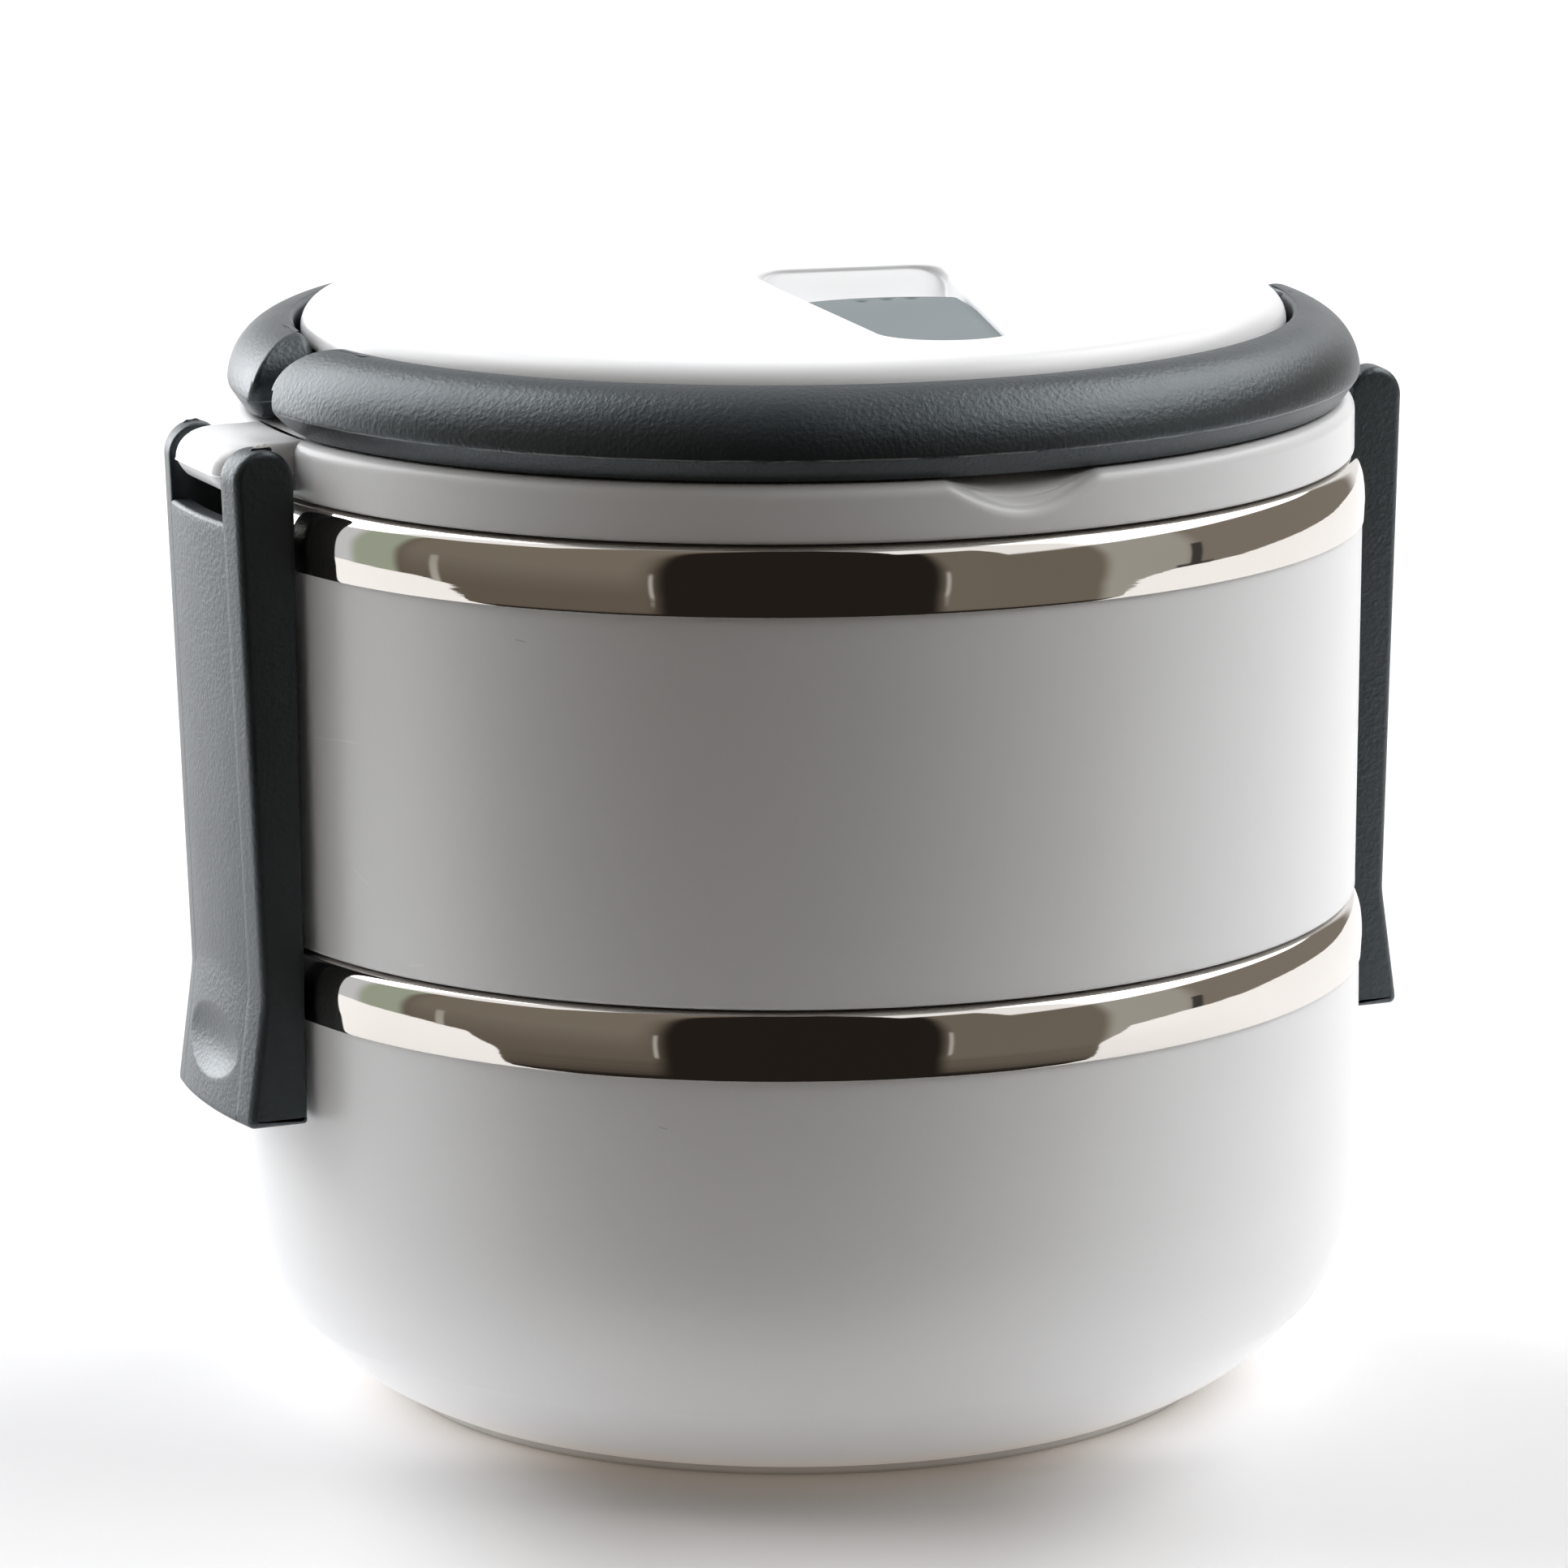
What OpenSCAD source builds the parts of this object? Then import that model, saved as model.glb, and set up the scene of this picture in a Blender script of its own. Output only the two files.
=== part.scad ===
// Two-tier round lunch box: steel-lined bowls, clip-on lid, folding carry handle.
// Millimetres, +Z up, origin on the table under the axis of the bowls.
// The latches lie on the X axis and the two handle halves fold about axes parallel to X.

/* [Bowls] */
// Outer diameter of the polished steel bands
band_d = 150; // [140:1:165]
// Height of a steel band
band_h = 8.5; // [7.5:0.1:10]
// Height of the sloping upper facet of a band
facet_h = 3.2; // [2.4:0.1:4]
// How far the upper facet leans in
facet_in = 1; // [0.6:0.1:1.4]
// Thickness of the steel sheet
steel_t = 0.6; // [0.4:0.1:0.8]
// How far a band stands proud of the plastic below it
band_proud = 0.5; // [0.3:0.1:0.6]
// Height of the lower steel rim above the table
lower_h = 65.3; // [60:0.5:80]
// Height of the upper tier from its lower edge to its steel rim
upper_h = 58; // [50:0.5:70]
// How much narrower the upper tier is at its lower edge
upper_taper = 0.6; // [0.2:0.1:0.8]
// Wall thickness of the plastic shells
wall = 2.2; // [1.8:0.1:2.4]
// Radius of the rounded bottom of the lower bowl
bend_r = 30.5; // [28:0.5:32]
// How far that rounding would reach below the table
bend_sink = 1.5; // [1:0.1:2]
// Height of the step between the lower shell and its base cap
step_z = 12; // [10:0.5:13]
// Depth of that step
step_in = 0.5; // [0.3:0.1:0.8]
// How much smaller the corner inside the lower steel bowl is than that rounding
corner_less = 8.5; // [8:0.5:12]
// Radius of the corner inside the upper steel bowl
upper_corner = 12; // [8:0.5:16]
// Height of the foot ring below the base cap
foot_h = 1.4; // [1:0.1:2]
// How far the foot ring lies inside the bands
foot_inset = 20; // [20:0.5:23]
// Width of the foot ring
foot_w = 5; // [3:0.5:7]

/* [Stacking] */
// Gap between a rim and what stands on it
stack_gap = 0.3; // [0.2:0.05:0.5]
// Depth of the plug that a tier or the lid pushes into the bowl below
plug_depth = 5.3; // [4.5:0.1:6.5]
// Thickness of a silicone seal
seal_h = 2.6; // [2:0.1:3]
// Depth of a seal in its groove
seal_w = 2.2; // [1.8:0.1:2.6]
// Gap between a seal lip and the steel
seal_gap = 0.3; // [0.2:0.05:0.4]

/* [Lid] */
// Height of the lid rim
lid_h = 7.2; // [6.5:0.1:9]
// How far the lid rim lies inside the bands
lid_inset = 1.6; // [1:0.1:3]
// Rounding of the lid's upper edge
lid_round = 1.8; // [1:0.1:2.2]
// Thickness of the lid's deck and rim
lid_wall = 2.9; // [2.5:0.1:3.2]
// How far the raised drum that carries the handles lies inside the top plate
drum_inset = 2.4; // [2:0.1:3.4]
// Gap between the top plate and the handle ring
plate_gap = 0.9; // [0.6:0.1:1.5]
// Height of the top plate above the handle ring
plate_over = 2.2; // [1.8:0.1:4]
// Rounding of the plate's edge
plate_round = 3.6; // [2:0.1:4]
// Half width of a finger scoop in the lid rim
scoop_half = 10.3; // [8:0.1:12]
// Depth of a finger scoop in the lid rim
scoop_depth = 3.6; // [2.5:0.1:3.8]
// How far a finger scoop reaches outside the rim
scoop_out = 6; // [4:0.5:8]

/* [Steam vent] */
// Turn of the vent recess about the vertical
vent_turn = 11; // [0:1:20]
// Place of the vent's front end across the lid
vent_x = 4; // [0:0.5:8]
// Place of the vent's front end along the lid
vent_y = -40; // [-42:0.5:-36]
// Radius of the vent recess at its front end
vent_r = 9.5; // [8.5:0.1:10]
// Half width of the recess at its back end
vent_back_half = 14.2; // [13:0.1:15]
// Length of the recess from its front circle to its back wall
vent_len = 58.5; // [54:0.5:60]
// Corner radius at the back of the recess
vent_corner = 6; // [4:0.5:8]
// Depth of the seat under the plug
seat_depth = 4.6; // [4:0.1:5]
// Extra depth of the finger hollow behind the plug
hollow_extra = 1.1; // [0.8:0.1:1.4]
// Radius of the finger hollow
hollow_r = 24; // [22:0.5:26]
// Thickness of the silicone plug
plug_t = 2.7; // [2.2:0.1:3]
// Length of the plug from its front circle to its back edge
plug_len = 41.5; // [38:0.5:43]
// Half width of the plug at its back edge
plug_half = 10.7; // [10:0.1:11]
// Length over which the plug widens
plug_flare = 20; // [16:0.5:24]
// Radius of the steam hole
vent_hole_r = 3.4; // [2.5:0.1:4]
// Place of the steam hole behind the front circle
vent_hole_s = 20; // [16:0.5:26]

/* [Handle] */
// How far the handle ring lies inside the bands
handle_inset = 1; // [0.5:0.1:2]
// Width of the handle ring
handle_w = 8.7; // [8.2:0.1:9.2]
// Height of the handle ring
handle_h = 11; // [10:0.1:12]
// Height of the lower bevel of the ring
bevel_h = 2.9; // [2:0.1:3.5]
// Inset of the lower bevel
bevel_in = 2.1; // [1.5:0.1:2.5]
// Wall of the hollow underside
handle_wall = 2.2; // [1.8:0.1:2.6]
// Gap between the ends of the two halves
split_gap = 6.3; // [5:0.1:8]
// Number of hollow cells under each half
cells = 7; // [4:1:9]
// Radius of a handle pin
handle_pin_r = 1.5; // [1.2:0.1:1.8]

/* [Latches] */
// Width of a latch
latch_w = 29; // [26:0.5:32]
// Thickness of a latch's side arms
arm_t = 4.5; // [3.8:0.1:5]
// Thickness of the latch's outer web
web_t = 2.4; // [2:0.1:2.6]
// How far the latch stands out from the bands at the top
latch_top_out = 8.6; // [8:0.1:9.5]
// How far the latch stands out from the bands at its waist
latch_waist_out = 6.4; // [5.8:0.1:7.2]
// How far the latch stands out from the bands at its foot
latch_foot_out = 8.5; // [7.6:0.1:9.5]
// Height of the waist above the foot of the latch
waist_up = 17.5; // [14:0.5:20]
// Depth of the latch's foot below the catch rib
foot_drop = 8.8; // [6:0.1:12]
// Gap between the arms and the widest part of the bowls
arm_gap = 0.85; // [0.7:0.05:1.2]
// Height of the web's upper edge below the hinge
ledge_drop = 5.6; // [5.3:0.1:6.5]
// Radius of the latch hinge pin
latch_pin_r = 1.3; // [1:0.1:1.5]
// Depth of the thumb dimple
dimple_depth = 1.3; // [0.8:0.1:1.5]
// Height of a catch rib under the lower band
rib_drop = 4.5; // [3.5:0.1:6]
// How far a catch rib stands out
rib_out = 0.9; // [0.7:0.05:1.1]
// Half width of a catch rib
rib_half = 8; // [6:0.5:10]

/* [Hidden] */

$fn = 128;
tiny = 0.01;
far = 400;
// clearances: pieces of one body, moving pieces, a pin in its bore
fit = 0.1;
gap = 0.3;
run_fit = 0.05;

white = [0.93, 0.94, 0.95];
grey = [0.33, 0.36, 0.38];
steel = [0.75, 0.73, 0.7];
silicone = [0.85, 0.87, 0.88];

// radii of the bowls
band_r = band_d / 2;
shell_r = band_r - band_proud;
lid_r = band_r - lid_inset;
handle_r = band_r - handle_inset;
handle_in = handle_r - handle_w;
plate_r = handle_in - plate_gap;
drum_r = plate_r - drum_inset;
foot_r = band_r - foot_inset;
bend_z = bend_r - bend_sink;
lower_corner = bend_r - corner_less;
latch_top_r = band_r + latch_top_out;
latch_waist_r = band_r + latch_waist_out;
latch_foot_r = band_r + latch_foot_out;
liner_gap = 0.4;
liner_r = shell_r - wall - liner_gap;
bore_r = liner_r - steel_t;
seal_r = bore_r - seal_gap;
plug_r = bore_r - 1.1;
sheet_taper = 1.4;

// levels, from the table up
rim1_z = lower_h;
tier2_z = rim1_z + stack_gap;
rim2_z = tier2_z + upper_h;
lid_z = rim2_z + stack_gap;
deck_z = lid_z + lid_h;
handle_z = deck_z + gap;
handle_top = handle_z + handle_h;
plate_z = handle_top + plate_over;
plate_rise = plate_z - deck_z;
cap_t = 2.2;
groove_d = 1;
steel_floor1 = foot_h + cap_t + 1.6;
steel_floor2 = tier2_z + 0.6;

liner_z = lid_z - plug_depth;

// vent and top plate
plate_t = 2.2;
vent_floor = plate_z - seat_depth;
hollow_floor = vent_floor - hollow_extra;
well_z = hollow_floor - 1.7;
hollow_rise = plate_z - hollow_floor;
hollow_s = vent_len - sqrt(hollow_rise * (2 * hollow_r - hollow_rise));

// handle hinge
handle_axis_z = handle_z + handle_h / 2;
handle_axis_y = split_gap / 2 + handle_h / 2;
boss_r = handle_pin_r + 1;
crown_r = handle_h - bevel_h;
handle_end_in = plate_r + gap;
boss_end = handle_end_in - gap;
pocket_y = split_gap / 2 + handle_h + 2;
pin_cover = 4;
pin_end = handle_r - pin_cover;
plate_skirt_z = handle_axis_z + boss_r + 0.5;

// latch hinge
arm_in = band_r + arm_gap - latch_curve(latch_w / 2 - arm_t, band_r);
arm_out = latch_top_r - latch_curve(latch_w / 2 - arm_t, latch_top_r);
hinge_x = (arm_in + arm_out) / 2;
hinge_r = (arm_out - arm_in) / 2;
hinge_z = deck_z - hinge_r;
tongue_half = latch_w / 2 - arm_t - gap;
tongue_t = 6.2;
ledge_z = hinge_z - ledge_drop;
rib_z = rim1_z - band_h - rib_drop;
rib_h = 2;
latch_z = rib_z - foot_drop;
waist_z = latch_z + waist_up;
hook_h = 2.6;
hook_play = 0.15;
hook_x = shell_r + rib_out + hook_play;
pin_blind = 1.4;

// sagitta of a circle of radius r at half chord c
function latch_curve(c, r) = r - sqrt(r * r - c * c);

// ---------- shared profiles ----------

// quarter of a hollow round, in the plane of the bowl's profile
module bend(r_outer, r_inner, z_low, z_high) {
    intersection() {
        translate([shell_r - bend_r, bend_z])
            difference() {
                circle(r = r_outer);
                circle(r = r_inner);
            }
        translate([shell_r - bend_r, z_low])
            square([bend_r, z_high - z_low]);
    }
}

// section of the rolled rim: skirt, sloping facet, flat top and inner wall
module rim_section(top) {
    lean = 8;
    facet_r = (facet_h * facet_h + facet_in * facet_in)
        / (2 * (facet_in * cos(lean) - facet_h * sin(lean)));
    crease_z = top - facet_h;
    roll = 1.3;
    difference() {
        union() {
            translate([bore_r, top - band_h])
                square([band_r - bore_r, band_h - facet_h]);
            intersection() {
                translate([band_r - facet_r * cos(lean), crease_z - facet_r * sin(lean)])
                    circle(r = facet_r);
                union() {
                    translate([bore_r, crease_z])
                        square([band_r - bore_r, facet_h - roll]);
                    translate([bore_r + roll, crease_z])
                        square([band_r - bore_r - roll, facet_h]);
                    translate([bore_r + roll, top - roll])
                        circle(r = roll);
                }
            }
        }
        translate([liner_r, top - band_h - tiny])
            square([band_r - steel_t - liner_r, band_h - facet_h + tiny]);
        intersection() {
            translate([band_r - facet_r * cos(lean), crease_z - facet_r * sin(lean)])
                circle(r = facet_r - steel_t);
            translate([liner_r, crease_z - tiny])
                square([band_r - liner_r, facet_h - steel_t + tiny]);
        }
    }
}

// section of a drawn steel bowl with its rim on top
module bowl_section(top, floor_z, corner) {
    wall_z = top - band_h;
    difference() {
        union() {
            rim_section(top);
            bowl_inside(wall_z, wall_z + 1, floor_z, corner, 0);
        }
        bowl_inside(wall_z, top + 1, floor_z, corner, steel_t);
    }
}

// everything inside a bowl's wall up to z = top, less a skin of thickness t
module bowl_inside(wall_z, top, floor_z, corner, t) {
    side_r = liner_r - sheet_taper;
    turn_z = floor_z + corner;
    polygon([[0, turn_z], [side_r - t, turn_z], [liner_r - t, wall_z], [liner_r - t, top],
        [0, top]]);
    translate([0, floor_z + t])
        square([side_r - corner, corner + 1]);
    translate([side_r - corner, turn_z])
        circle(r = corner - t);
}

// section of a soft seal: body in the groove and a lip towards the steel
module seal_section(z) {
    lip = 0.6;
    translate([plug_r - seal_w + fit, z])
        square([seal_w, seal_h]);
    translate([plug_r - tiny, z + seal_h / 2 - lip])
        square([seal_r - plug_r - lip + tiny, 2 * lip]);
    translate([seal_r - lip, z + seal_h / 2])
        circle(r = lip, $fn = 32);
}

module both_sides() {
    children();
    mirror([1, 0, 0])
        children();
}

// ---------- lower tier ----------

module lower_shell() {
    color(white) {
        rotate_extrude() {
            bend(bend_r, bend_r - wall, step_z, bend_z);
            translate([shell_r - wall, bend_z])
                square([wall, rim1_z - band_h - bend_z]);
            rim_seat(rim1_z);
        }
        both_sides()
            catch_rib();
    }
}

// top of a plastic wall, which fills the rolled rim from below
module rim_seat(top) {
    seat_r = band_r - steel_t - fit;
    polygon([[shell_r - wall, top - band_h - tiny], [seat_r, top - band_h - tiny],
        [seat_r, top - facet_h], [seat_r - facet_in, top - steel_t - fit],
        [shell_r - wall, top - steel_t - fit]]);
}

// rib that the latch hook snaps under, with a sloping top
module catch_rib() {
    slope = 1.2;
    translate([0, rib_half, 0])
        rotate([90, 0, 0])
            linear_extrude(2 * rib_half)
                polygon([[shell_r - wall / 2, rib_z], [shell_r + rib_out, rib_z],
                    [shell_r + rib_out, rib_z + rib_h - slope], [shell_r - wall / 2, rib_z + rib_h]]);
}

module lower_base_cap() {
    cap_r = bend_r - step_in;
    spigot_t = 1.1;
    spigot_h = 3;
    color(white)
        difference() {
            rotate_extrude() {
                bend(cap_r, cap_r - wall, foot_h, step_z);
                bend(bend_r - wall - fit, bend_r - wall - spigot_t, step_z - spigot_h,
                    step_z + spigot_h);
                translate([0, foot_h])
                    square([shell_r - bend_r + sqrt(cap_r * cap_r - pow(bend_z - foot_h, 2)), cap_t]);
            }
            translate([0, 0, foot_h - tiny])
                ring(foot_r + fit, foot_r - foot_w - fit, groove_d + tiny);
        }
}

module ring(outer, inner, h) {
    difference() {
        cylinder(r = outer, h = h);
        translate([0, 0, -tiny])
            cylinder(r = inner, h = h + 2 * tiny);
    }
}

module foot_ring() {
    color(silicone)
        rotate_extrude() {
            translate([foot_r - foot_w, foot_h / 3])
                square([foot_w, foot_h * 2 / 3 + groove_d]);
            translate([foot_r - foot_w + foot_h / 3, 0])
                square([foot_w - 2 * foot_h / 3, foot_h]);
        }
}

module lower_steel_bowl() {
    color(steel)
        rotate_extrude()
            bowl_section(rim1_z, steel_floor1, lower_corner);
}

// ---------- upper tier ----------

module upper_shell() {
    low_r = shell_r - upper_taper;
    edge = 0.6;
    band_z = rim2_z - band_h;
    color(white)
        rotate_extrude() {
            polygon([[low_r - wall, tier2_z], [low_r - edge, tier2_z], [low_r, tier2_z + edge],
                [shell_r, band_z], [shell_r - wall, band_z]]);
            rim_seat(rim2_z);
        }
}

module upper_base_cap() {
    low_r = shell_r - upper_taper;
    skirt_t = 2;
    floor_z = tier2_z - plug_depth;
    weld_h = 6;
    color(white)
        difference() {
            union() {
                translate([0, 0, floor_z])
                    cylinder(r = plug_r, h = plug_depth + tiny);
                translate([0, 0, tier2_z])
                    cylinder(r = low_r - wall - fit, h = weld_h);
            }
            translate([0, 0, steel_floor2 - fit])
                cylinder(r = low_r - wall - skirt_t, h = weld_h + 1);
            translate([0, 0, floor_z + cap_t])
                cylinder(r = plug_r - seal_w - skirt_t, h = plug_depth);
            translate([0, 0, floor_z + (plug_depth - seal_h) / 2 - fit])
                ring(band_r, plug_r - seal_w, seal_h + 2 * fit);
        }
}

module tier_seal() {
    color(silicone)
        rotate_extrude()
            seal_section(tier2_z - plug_depth + (plug_depth - seal_h) / 2);
}

module upper_steel_bowl() {
    color(steel)
        rotate_extrude()
            bowl_section(rim2_z, steel_floor2, upper_corner);
}

// ---------- lid ----------

module lid_body() {
    color(white)
        difference() {
            union() {
                rotate_extrude()
                    lid_rim_section();
                translate([0, 0, deck_z - lid_wall])
                    cylinder(r = lid_r - lid_round, h = lid_wall);
                translate([0, 0, deck_z - tiny])
                    ring(drum_r, drum_r - wall, plate_z - plate_t - deck_z + tiny);
                handle_hinges(drum_r - 2 * wall, boss_end, boss_r);
                both_sides()
                    tongue();
                vent_frame()
                    translate([0, vent_hole_s, deck_z - tiny])
                        cylinder(r = vent_hole_r + wall, h = well_z - deck_z - fit + tiny);
            }
            vent_frame()
                translate([0, vent_hole_s, deck_z - 2 * lid_wall])
                    cylinder(r = vent_hole_r, h = plate_rise);
            handle_hinges(drum_r - 2 * wall - 1, boss_end + 1, handle_pin_r);
            both_sides()
                translate([hinge_x, 0, hinge_z])
                    rotate([90, 0, 0])
                        cylinder(r = latch_pin_r + run_fit, h = latch_w, center = true);
            finger_scoop();
            mirror([0, 1, 0])
                finger_scoop();
        }
}

module lid_rim_section() {
    edge = 0.5;
    in_r = lid_r - lid_wall;
    translate([in_r, lid_z])
        square([lid_wall - edge, lid_h - lid_round]);
    translate([in_r, lid_z + edge])
        square([lid_wall, lid_h - lid_round - edge]);
    translate([in_r, lid_z])
        square([lid_wall - lid_round, lid_h]);
    translate([lid_r - lid_round, deck_z - lid_round])
        circle(r = lid_round, $fn = 64);
    translate([lid_r - edge, lid_z + edge])
        circle(r = edge, $fn = 32);
}

// four bars along X on the hinge lines of the handle, from x = a to x = b
module handle_hinges(a, b, r) {
    for (side = [-1, 1], half = [-1, 1])
        translate([side > 0 ? a : -b, half * handle_axis_y, handle_axis_z])
            rotate([0, 90, 0])
                cylinder(r = r, h = b - a, $fn = 64);
}

// ear at +X that the latch hangs on: a bar with a round nose about the hinge pin
module tongue() {
    corner = 3.5;
    nose = hinge_x + hinge_r;
    root = lid_r - lid_round;
    intersection() {
        translate([0, tongue_half, 0])
            rotate([90, 0, 0])
                linear_extrude(2 * tongue_half)
                    intersection() {
                        union() {
                            translate([hinge_x, hinge_z])
                                circle(r = hinge_r);
                            translate([root, deck_z - tongue_t])
                                square([hinge_x - root, tongue_t]);
                        }
                        translate([root, deck_z - tongue_t])
                            square([nose, tongue_t]);
                    }
        translate([0, 0, lid_z])
            linear_extrude(lid_h)
                union() {
                    translate([0, -tongue_half])
                        square([nose - corner, 2 * tongue_half]);
                    translate([0, corner - tongue_half])
                        square([nose, 2 * (tongue_half - corner)]);
                    for (side = [-1, 1])
                        translate([nose - corner, side * (tongue_half - corner)])
                            circle(r = corner, $fn = 64);
                }
    }
}

// half-moon hollow in the lid rim, for a fingertip under the handle
module finger_scoop() {
    arc_r = (scoop_half * scoop_half + scoop_depth * scoop_depth) / (2 * scoop_depth);
    translate([0, -lid_r - scoop_out, deck_z - scoop_depth + arc_r])
        sphere(r = sqrt(arc_r * arc_r + scoop_out * scoop_out));
}

module lid_liner() {
    skirt_t = 2;
    color(white)
        difference() {
            translate([0, 0, liner_z])
                cylinder(r = plug_r, h = deck_z - lid_wall - liner_z);
            translate([0, 0, liner_z + cap_t])
                cylinder(r = plug_r - seal_w - skirt_t, h = lid_z);
            translate([0, 0, liner_z + (plug_depth - seal_h) / 2 - fit])
                ring(band_r, plug_r - seal_w, seal_h + 2 * fit);
            vent_frame()
                for (turn = [0:60:300])
                    translate([0, vent_hole_s, liner_z - 1])
                        rotate(turn)
                            translate([vent_hole_r, 0, 0])
                                cylinder(r = 1, h = cap_t + 2, $fn = 32);
        }
}

module lid_seal() {
    color(silicone)
        rotate_extrude()
            seal_section(liner_z + (plug_depth - seal_h) / 2);
}

module lid_top_plate() {
    color(white)
        difference() {
            union() {
                rotate_extrude()
                    plate_section();
                vent_frame()
                    translate([0, 0, well_z])
                        linear_extrude(plate_z - plate_t - well_z + tiny)
                            vent_outline(plate_t - 0.2);
            }
            vent_frame()
                vent_recess();
        }
}

module plate_section() {
    difference() {
        union() {
            translate([0, plate_skirt_z])
                square([plate_r - plate_round, plate_z - plate_skirt_z]);
            translate([0, plate_skirt_z])
                square([plate_r, plate_z - plate_round - plate_skirt_z]);
            translate([plate_r - plate_round, plate_z - plate_round])
                circle(r = plate_round);
        }
        translate([-tiny, plate_skirt_z - 2 * plate_round])
            square([drum_r + fit + tiny, plate_z - plate_t - plate_skirt_z + 2 * plate_round]);
        translate([0, plate_skirt_z - 2 * plate_round])
            square([plate_r + fit, 2 * plate_round]);
    }
}

// the vent is laid out along +Y from its front circle, then turned and moved
module vent_frame() {
    translate([vent_x, vent_y, 0])
        rotate(-vent_turn)
            children();
}

module vent_outline(grow) {
    back = vent_len - vent_corner;
    inner = vent_back_half - vent_corner;
    circle(r = vent_r + grow);
    polygon([[-vent_r - grow, 0], [vent_r + grow, 0], [vent_back_half + grow, back],
        [-vent_back_half - grow, back]]);
    for (side = [-1, 1])
        translate([side * inner, back])
            circle(r = vent_corner + grow);
    translate([-inner, back - tiny])
        square([2 * inner, vent_corner + grow + tiny]);
}

// flat seat for the plug, hollow behind it for a fingertip, and the steam hole
module vent_recess() {
    intersection() {
        translate([0, 0, hollow_floor])
            linear_extrude(plate_rise)
                vent_outline(0);
        union() {
            translate([-far / 2, -far / 2, vent_floor])
                cube([far, far / 2 + hollow_s, plate_rise]);
            translate([0, hollow_s, hollow_floor + hollow_r])
                rotate([0, 90, 0])
                    cylinder(r = hollow_r, h = far, center = true);
        }
    }
    translate([0, vent_hole_s, well_z - 1])
        cylinder(r = vent_hole_r, h = plate_rise);
}

module vent_plug() {
    back_r = 24;
    edge_gap = 0.5;
    seat_gap = 0.2;
    front_r = vent_r - edge_gap;
    floor_z = vent_floor + seat_gap;
    stem_h = 3;
    stem_less = 1.4;
    dot_r = 0.6;
    dot_pitch = 3.4;
    dot_inset = 2.7;
    dot_depth = 0.8;
    color(grey)
        vent_frame()
            difference() {
                union() {
                    translate([0, 0, floor_z])
                        linear_extrude(plug_t)
                            intersection() {
                                union() {
                                    circle(r = front_r);
                                    polygon([[-front_r, 0], [front_r, 0], [plug_half, plug_flare],
                                        [plug_half, plug_len], [-plug_half, plug_len],
                                        [-plug_half, plug_flare]]);
                                }
                                translate([0, plug_len - back_r])
                                    circle(r = back_r);
                            }
                    translate([0, vent_hole_s, vent_floor - stem_h])
                        cylinder(r1 = vent_hole_r - stem_less, r2 = vent_hole_r - gap,
                            h = stem_h + seat_gap + tiny);
                }
                for (step = [-1:1])
                    translate([dot_pitch * step, plug_len - dot_inset, floor_z + plug_t - dot_depth])
                        cylinder(r = dot_r, h = plug_t, $fn = 32);
            }
}

// ---------- carry handle ----------

module front_handle() {
    color(grey)
        handle_half();
}

module back_handle() {
    color(grey)
        mirror([0, 1, 0])
            handle_half();
}

module handle_section() {
    crown_x = handle_r - crown_r;
    crown_z = handle_top - crown_r;
    intersection() {
        translate([crown_x, crown_z])
            circle(r = crown_r);
        translate([crown_x - tiny, crown_z])
            square([crown_r + tiny, crown_r]);
    }
    translate([handle_end_in, crown_z - tiny])
        square([crown_x - handle_end_in, crown_r + tiny]);
    polygon([[handle_end_in, handle_z], [handle_r - bevel_in, handle_z], [handle_r, crown_z],
        [handle_end_in, crown_z]]);
}

// section of the hollow under the handle
module cell_section() {
    crown_x = handle_r - crown_r;
    crown_z = handle_top - crown_r;
    in_r = handle_in + handle_wall;
    intersection() {
        translate([crown_x, crown_z])
            circle(r = crown_r - handle_wall);
        translate([in_r, crown_z - tiny])
            square(crown_r);
    }
    polygon([[in_r, handle_z - 1], [handle_r - bevel_in - handle_wall, handle_z - 1],
        [handle_r - bevel_in - handle_wall, handle_z], [handle_r - handle_wall, crown_z],
        [in_r, crown_z]]);
}

// half ring on the -Y side, with ends rounded about the hinge line
module handle_half() {
    rib_turn = 1.3;
    end_turn = asin((pocket_y + 2) / handle_in);
    cell_turn = (180 - 2 * end_turn - (cells - 1) * rib_turn) / cells;
    difference() {
        intersection() {
            rotate_extrude()
                handle_section();
            union() {
                translate([-far / 2, -far - handle_axis_y, handle_z])
                    cube([far, far, handle_h]);
                translate([0, -handle_axis_y, handle_axis_z])
                    rotate([0, 90, 0])
                        cylinder(r = handle_h / 2, h = far, center = true);
            }
        }
        intersection() {
            translate([0, 0, handle_z - 1])
                cylinder(r = handle_in, h = handle_h + 2);
            translate([-far / 2, -far - pocket_y + tiny, handle_z - handle_h])
                cube([far, far, 3 * handle_h]);
        }
        translate([-handle_end_in, -pocket_y, handle_z - 1])
            cube([2 * handle_end_in, pocket_y, handle_h + 2]);
        for (i = [0:cells - 1])
            rotate(180 + end_turn + i * (cell_turn + rib_turn))
                rotate_extrude(angle = cell_turn)
                    cell_section();
        handle_bores();
    }
}

module handle_bores() {
    for (side = [-1, 1])
        translate([side > 0 ? boss_end - 1 : -pin_end - fit, -handle_axis_y, handle_axis_z])
            rotate([0, 90, 0])
                cylinder(r = handle_pin_r + run_fit, h = pin_end + fit - boss_end + 1, $fn = 64);
}

module handle_pins() {
    color(steel)
        handle_hinges(drum_r - 2 * wall + fit, pin_end, handle_pin_r);
}

// ---------- latches ----------

module right_latch() {
    color(grey)
        latch();
}

module left_latch() {
    color(grey)
        mirror([1, 0, 0])
            latch();
}

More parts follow.
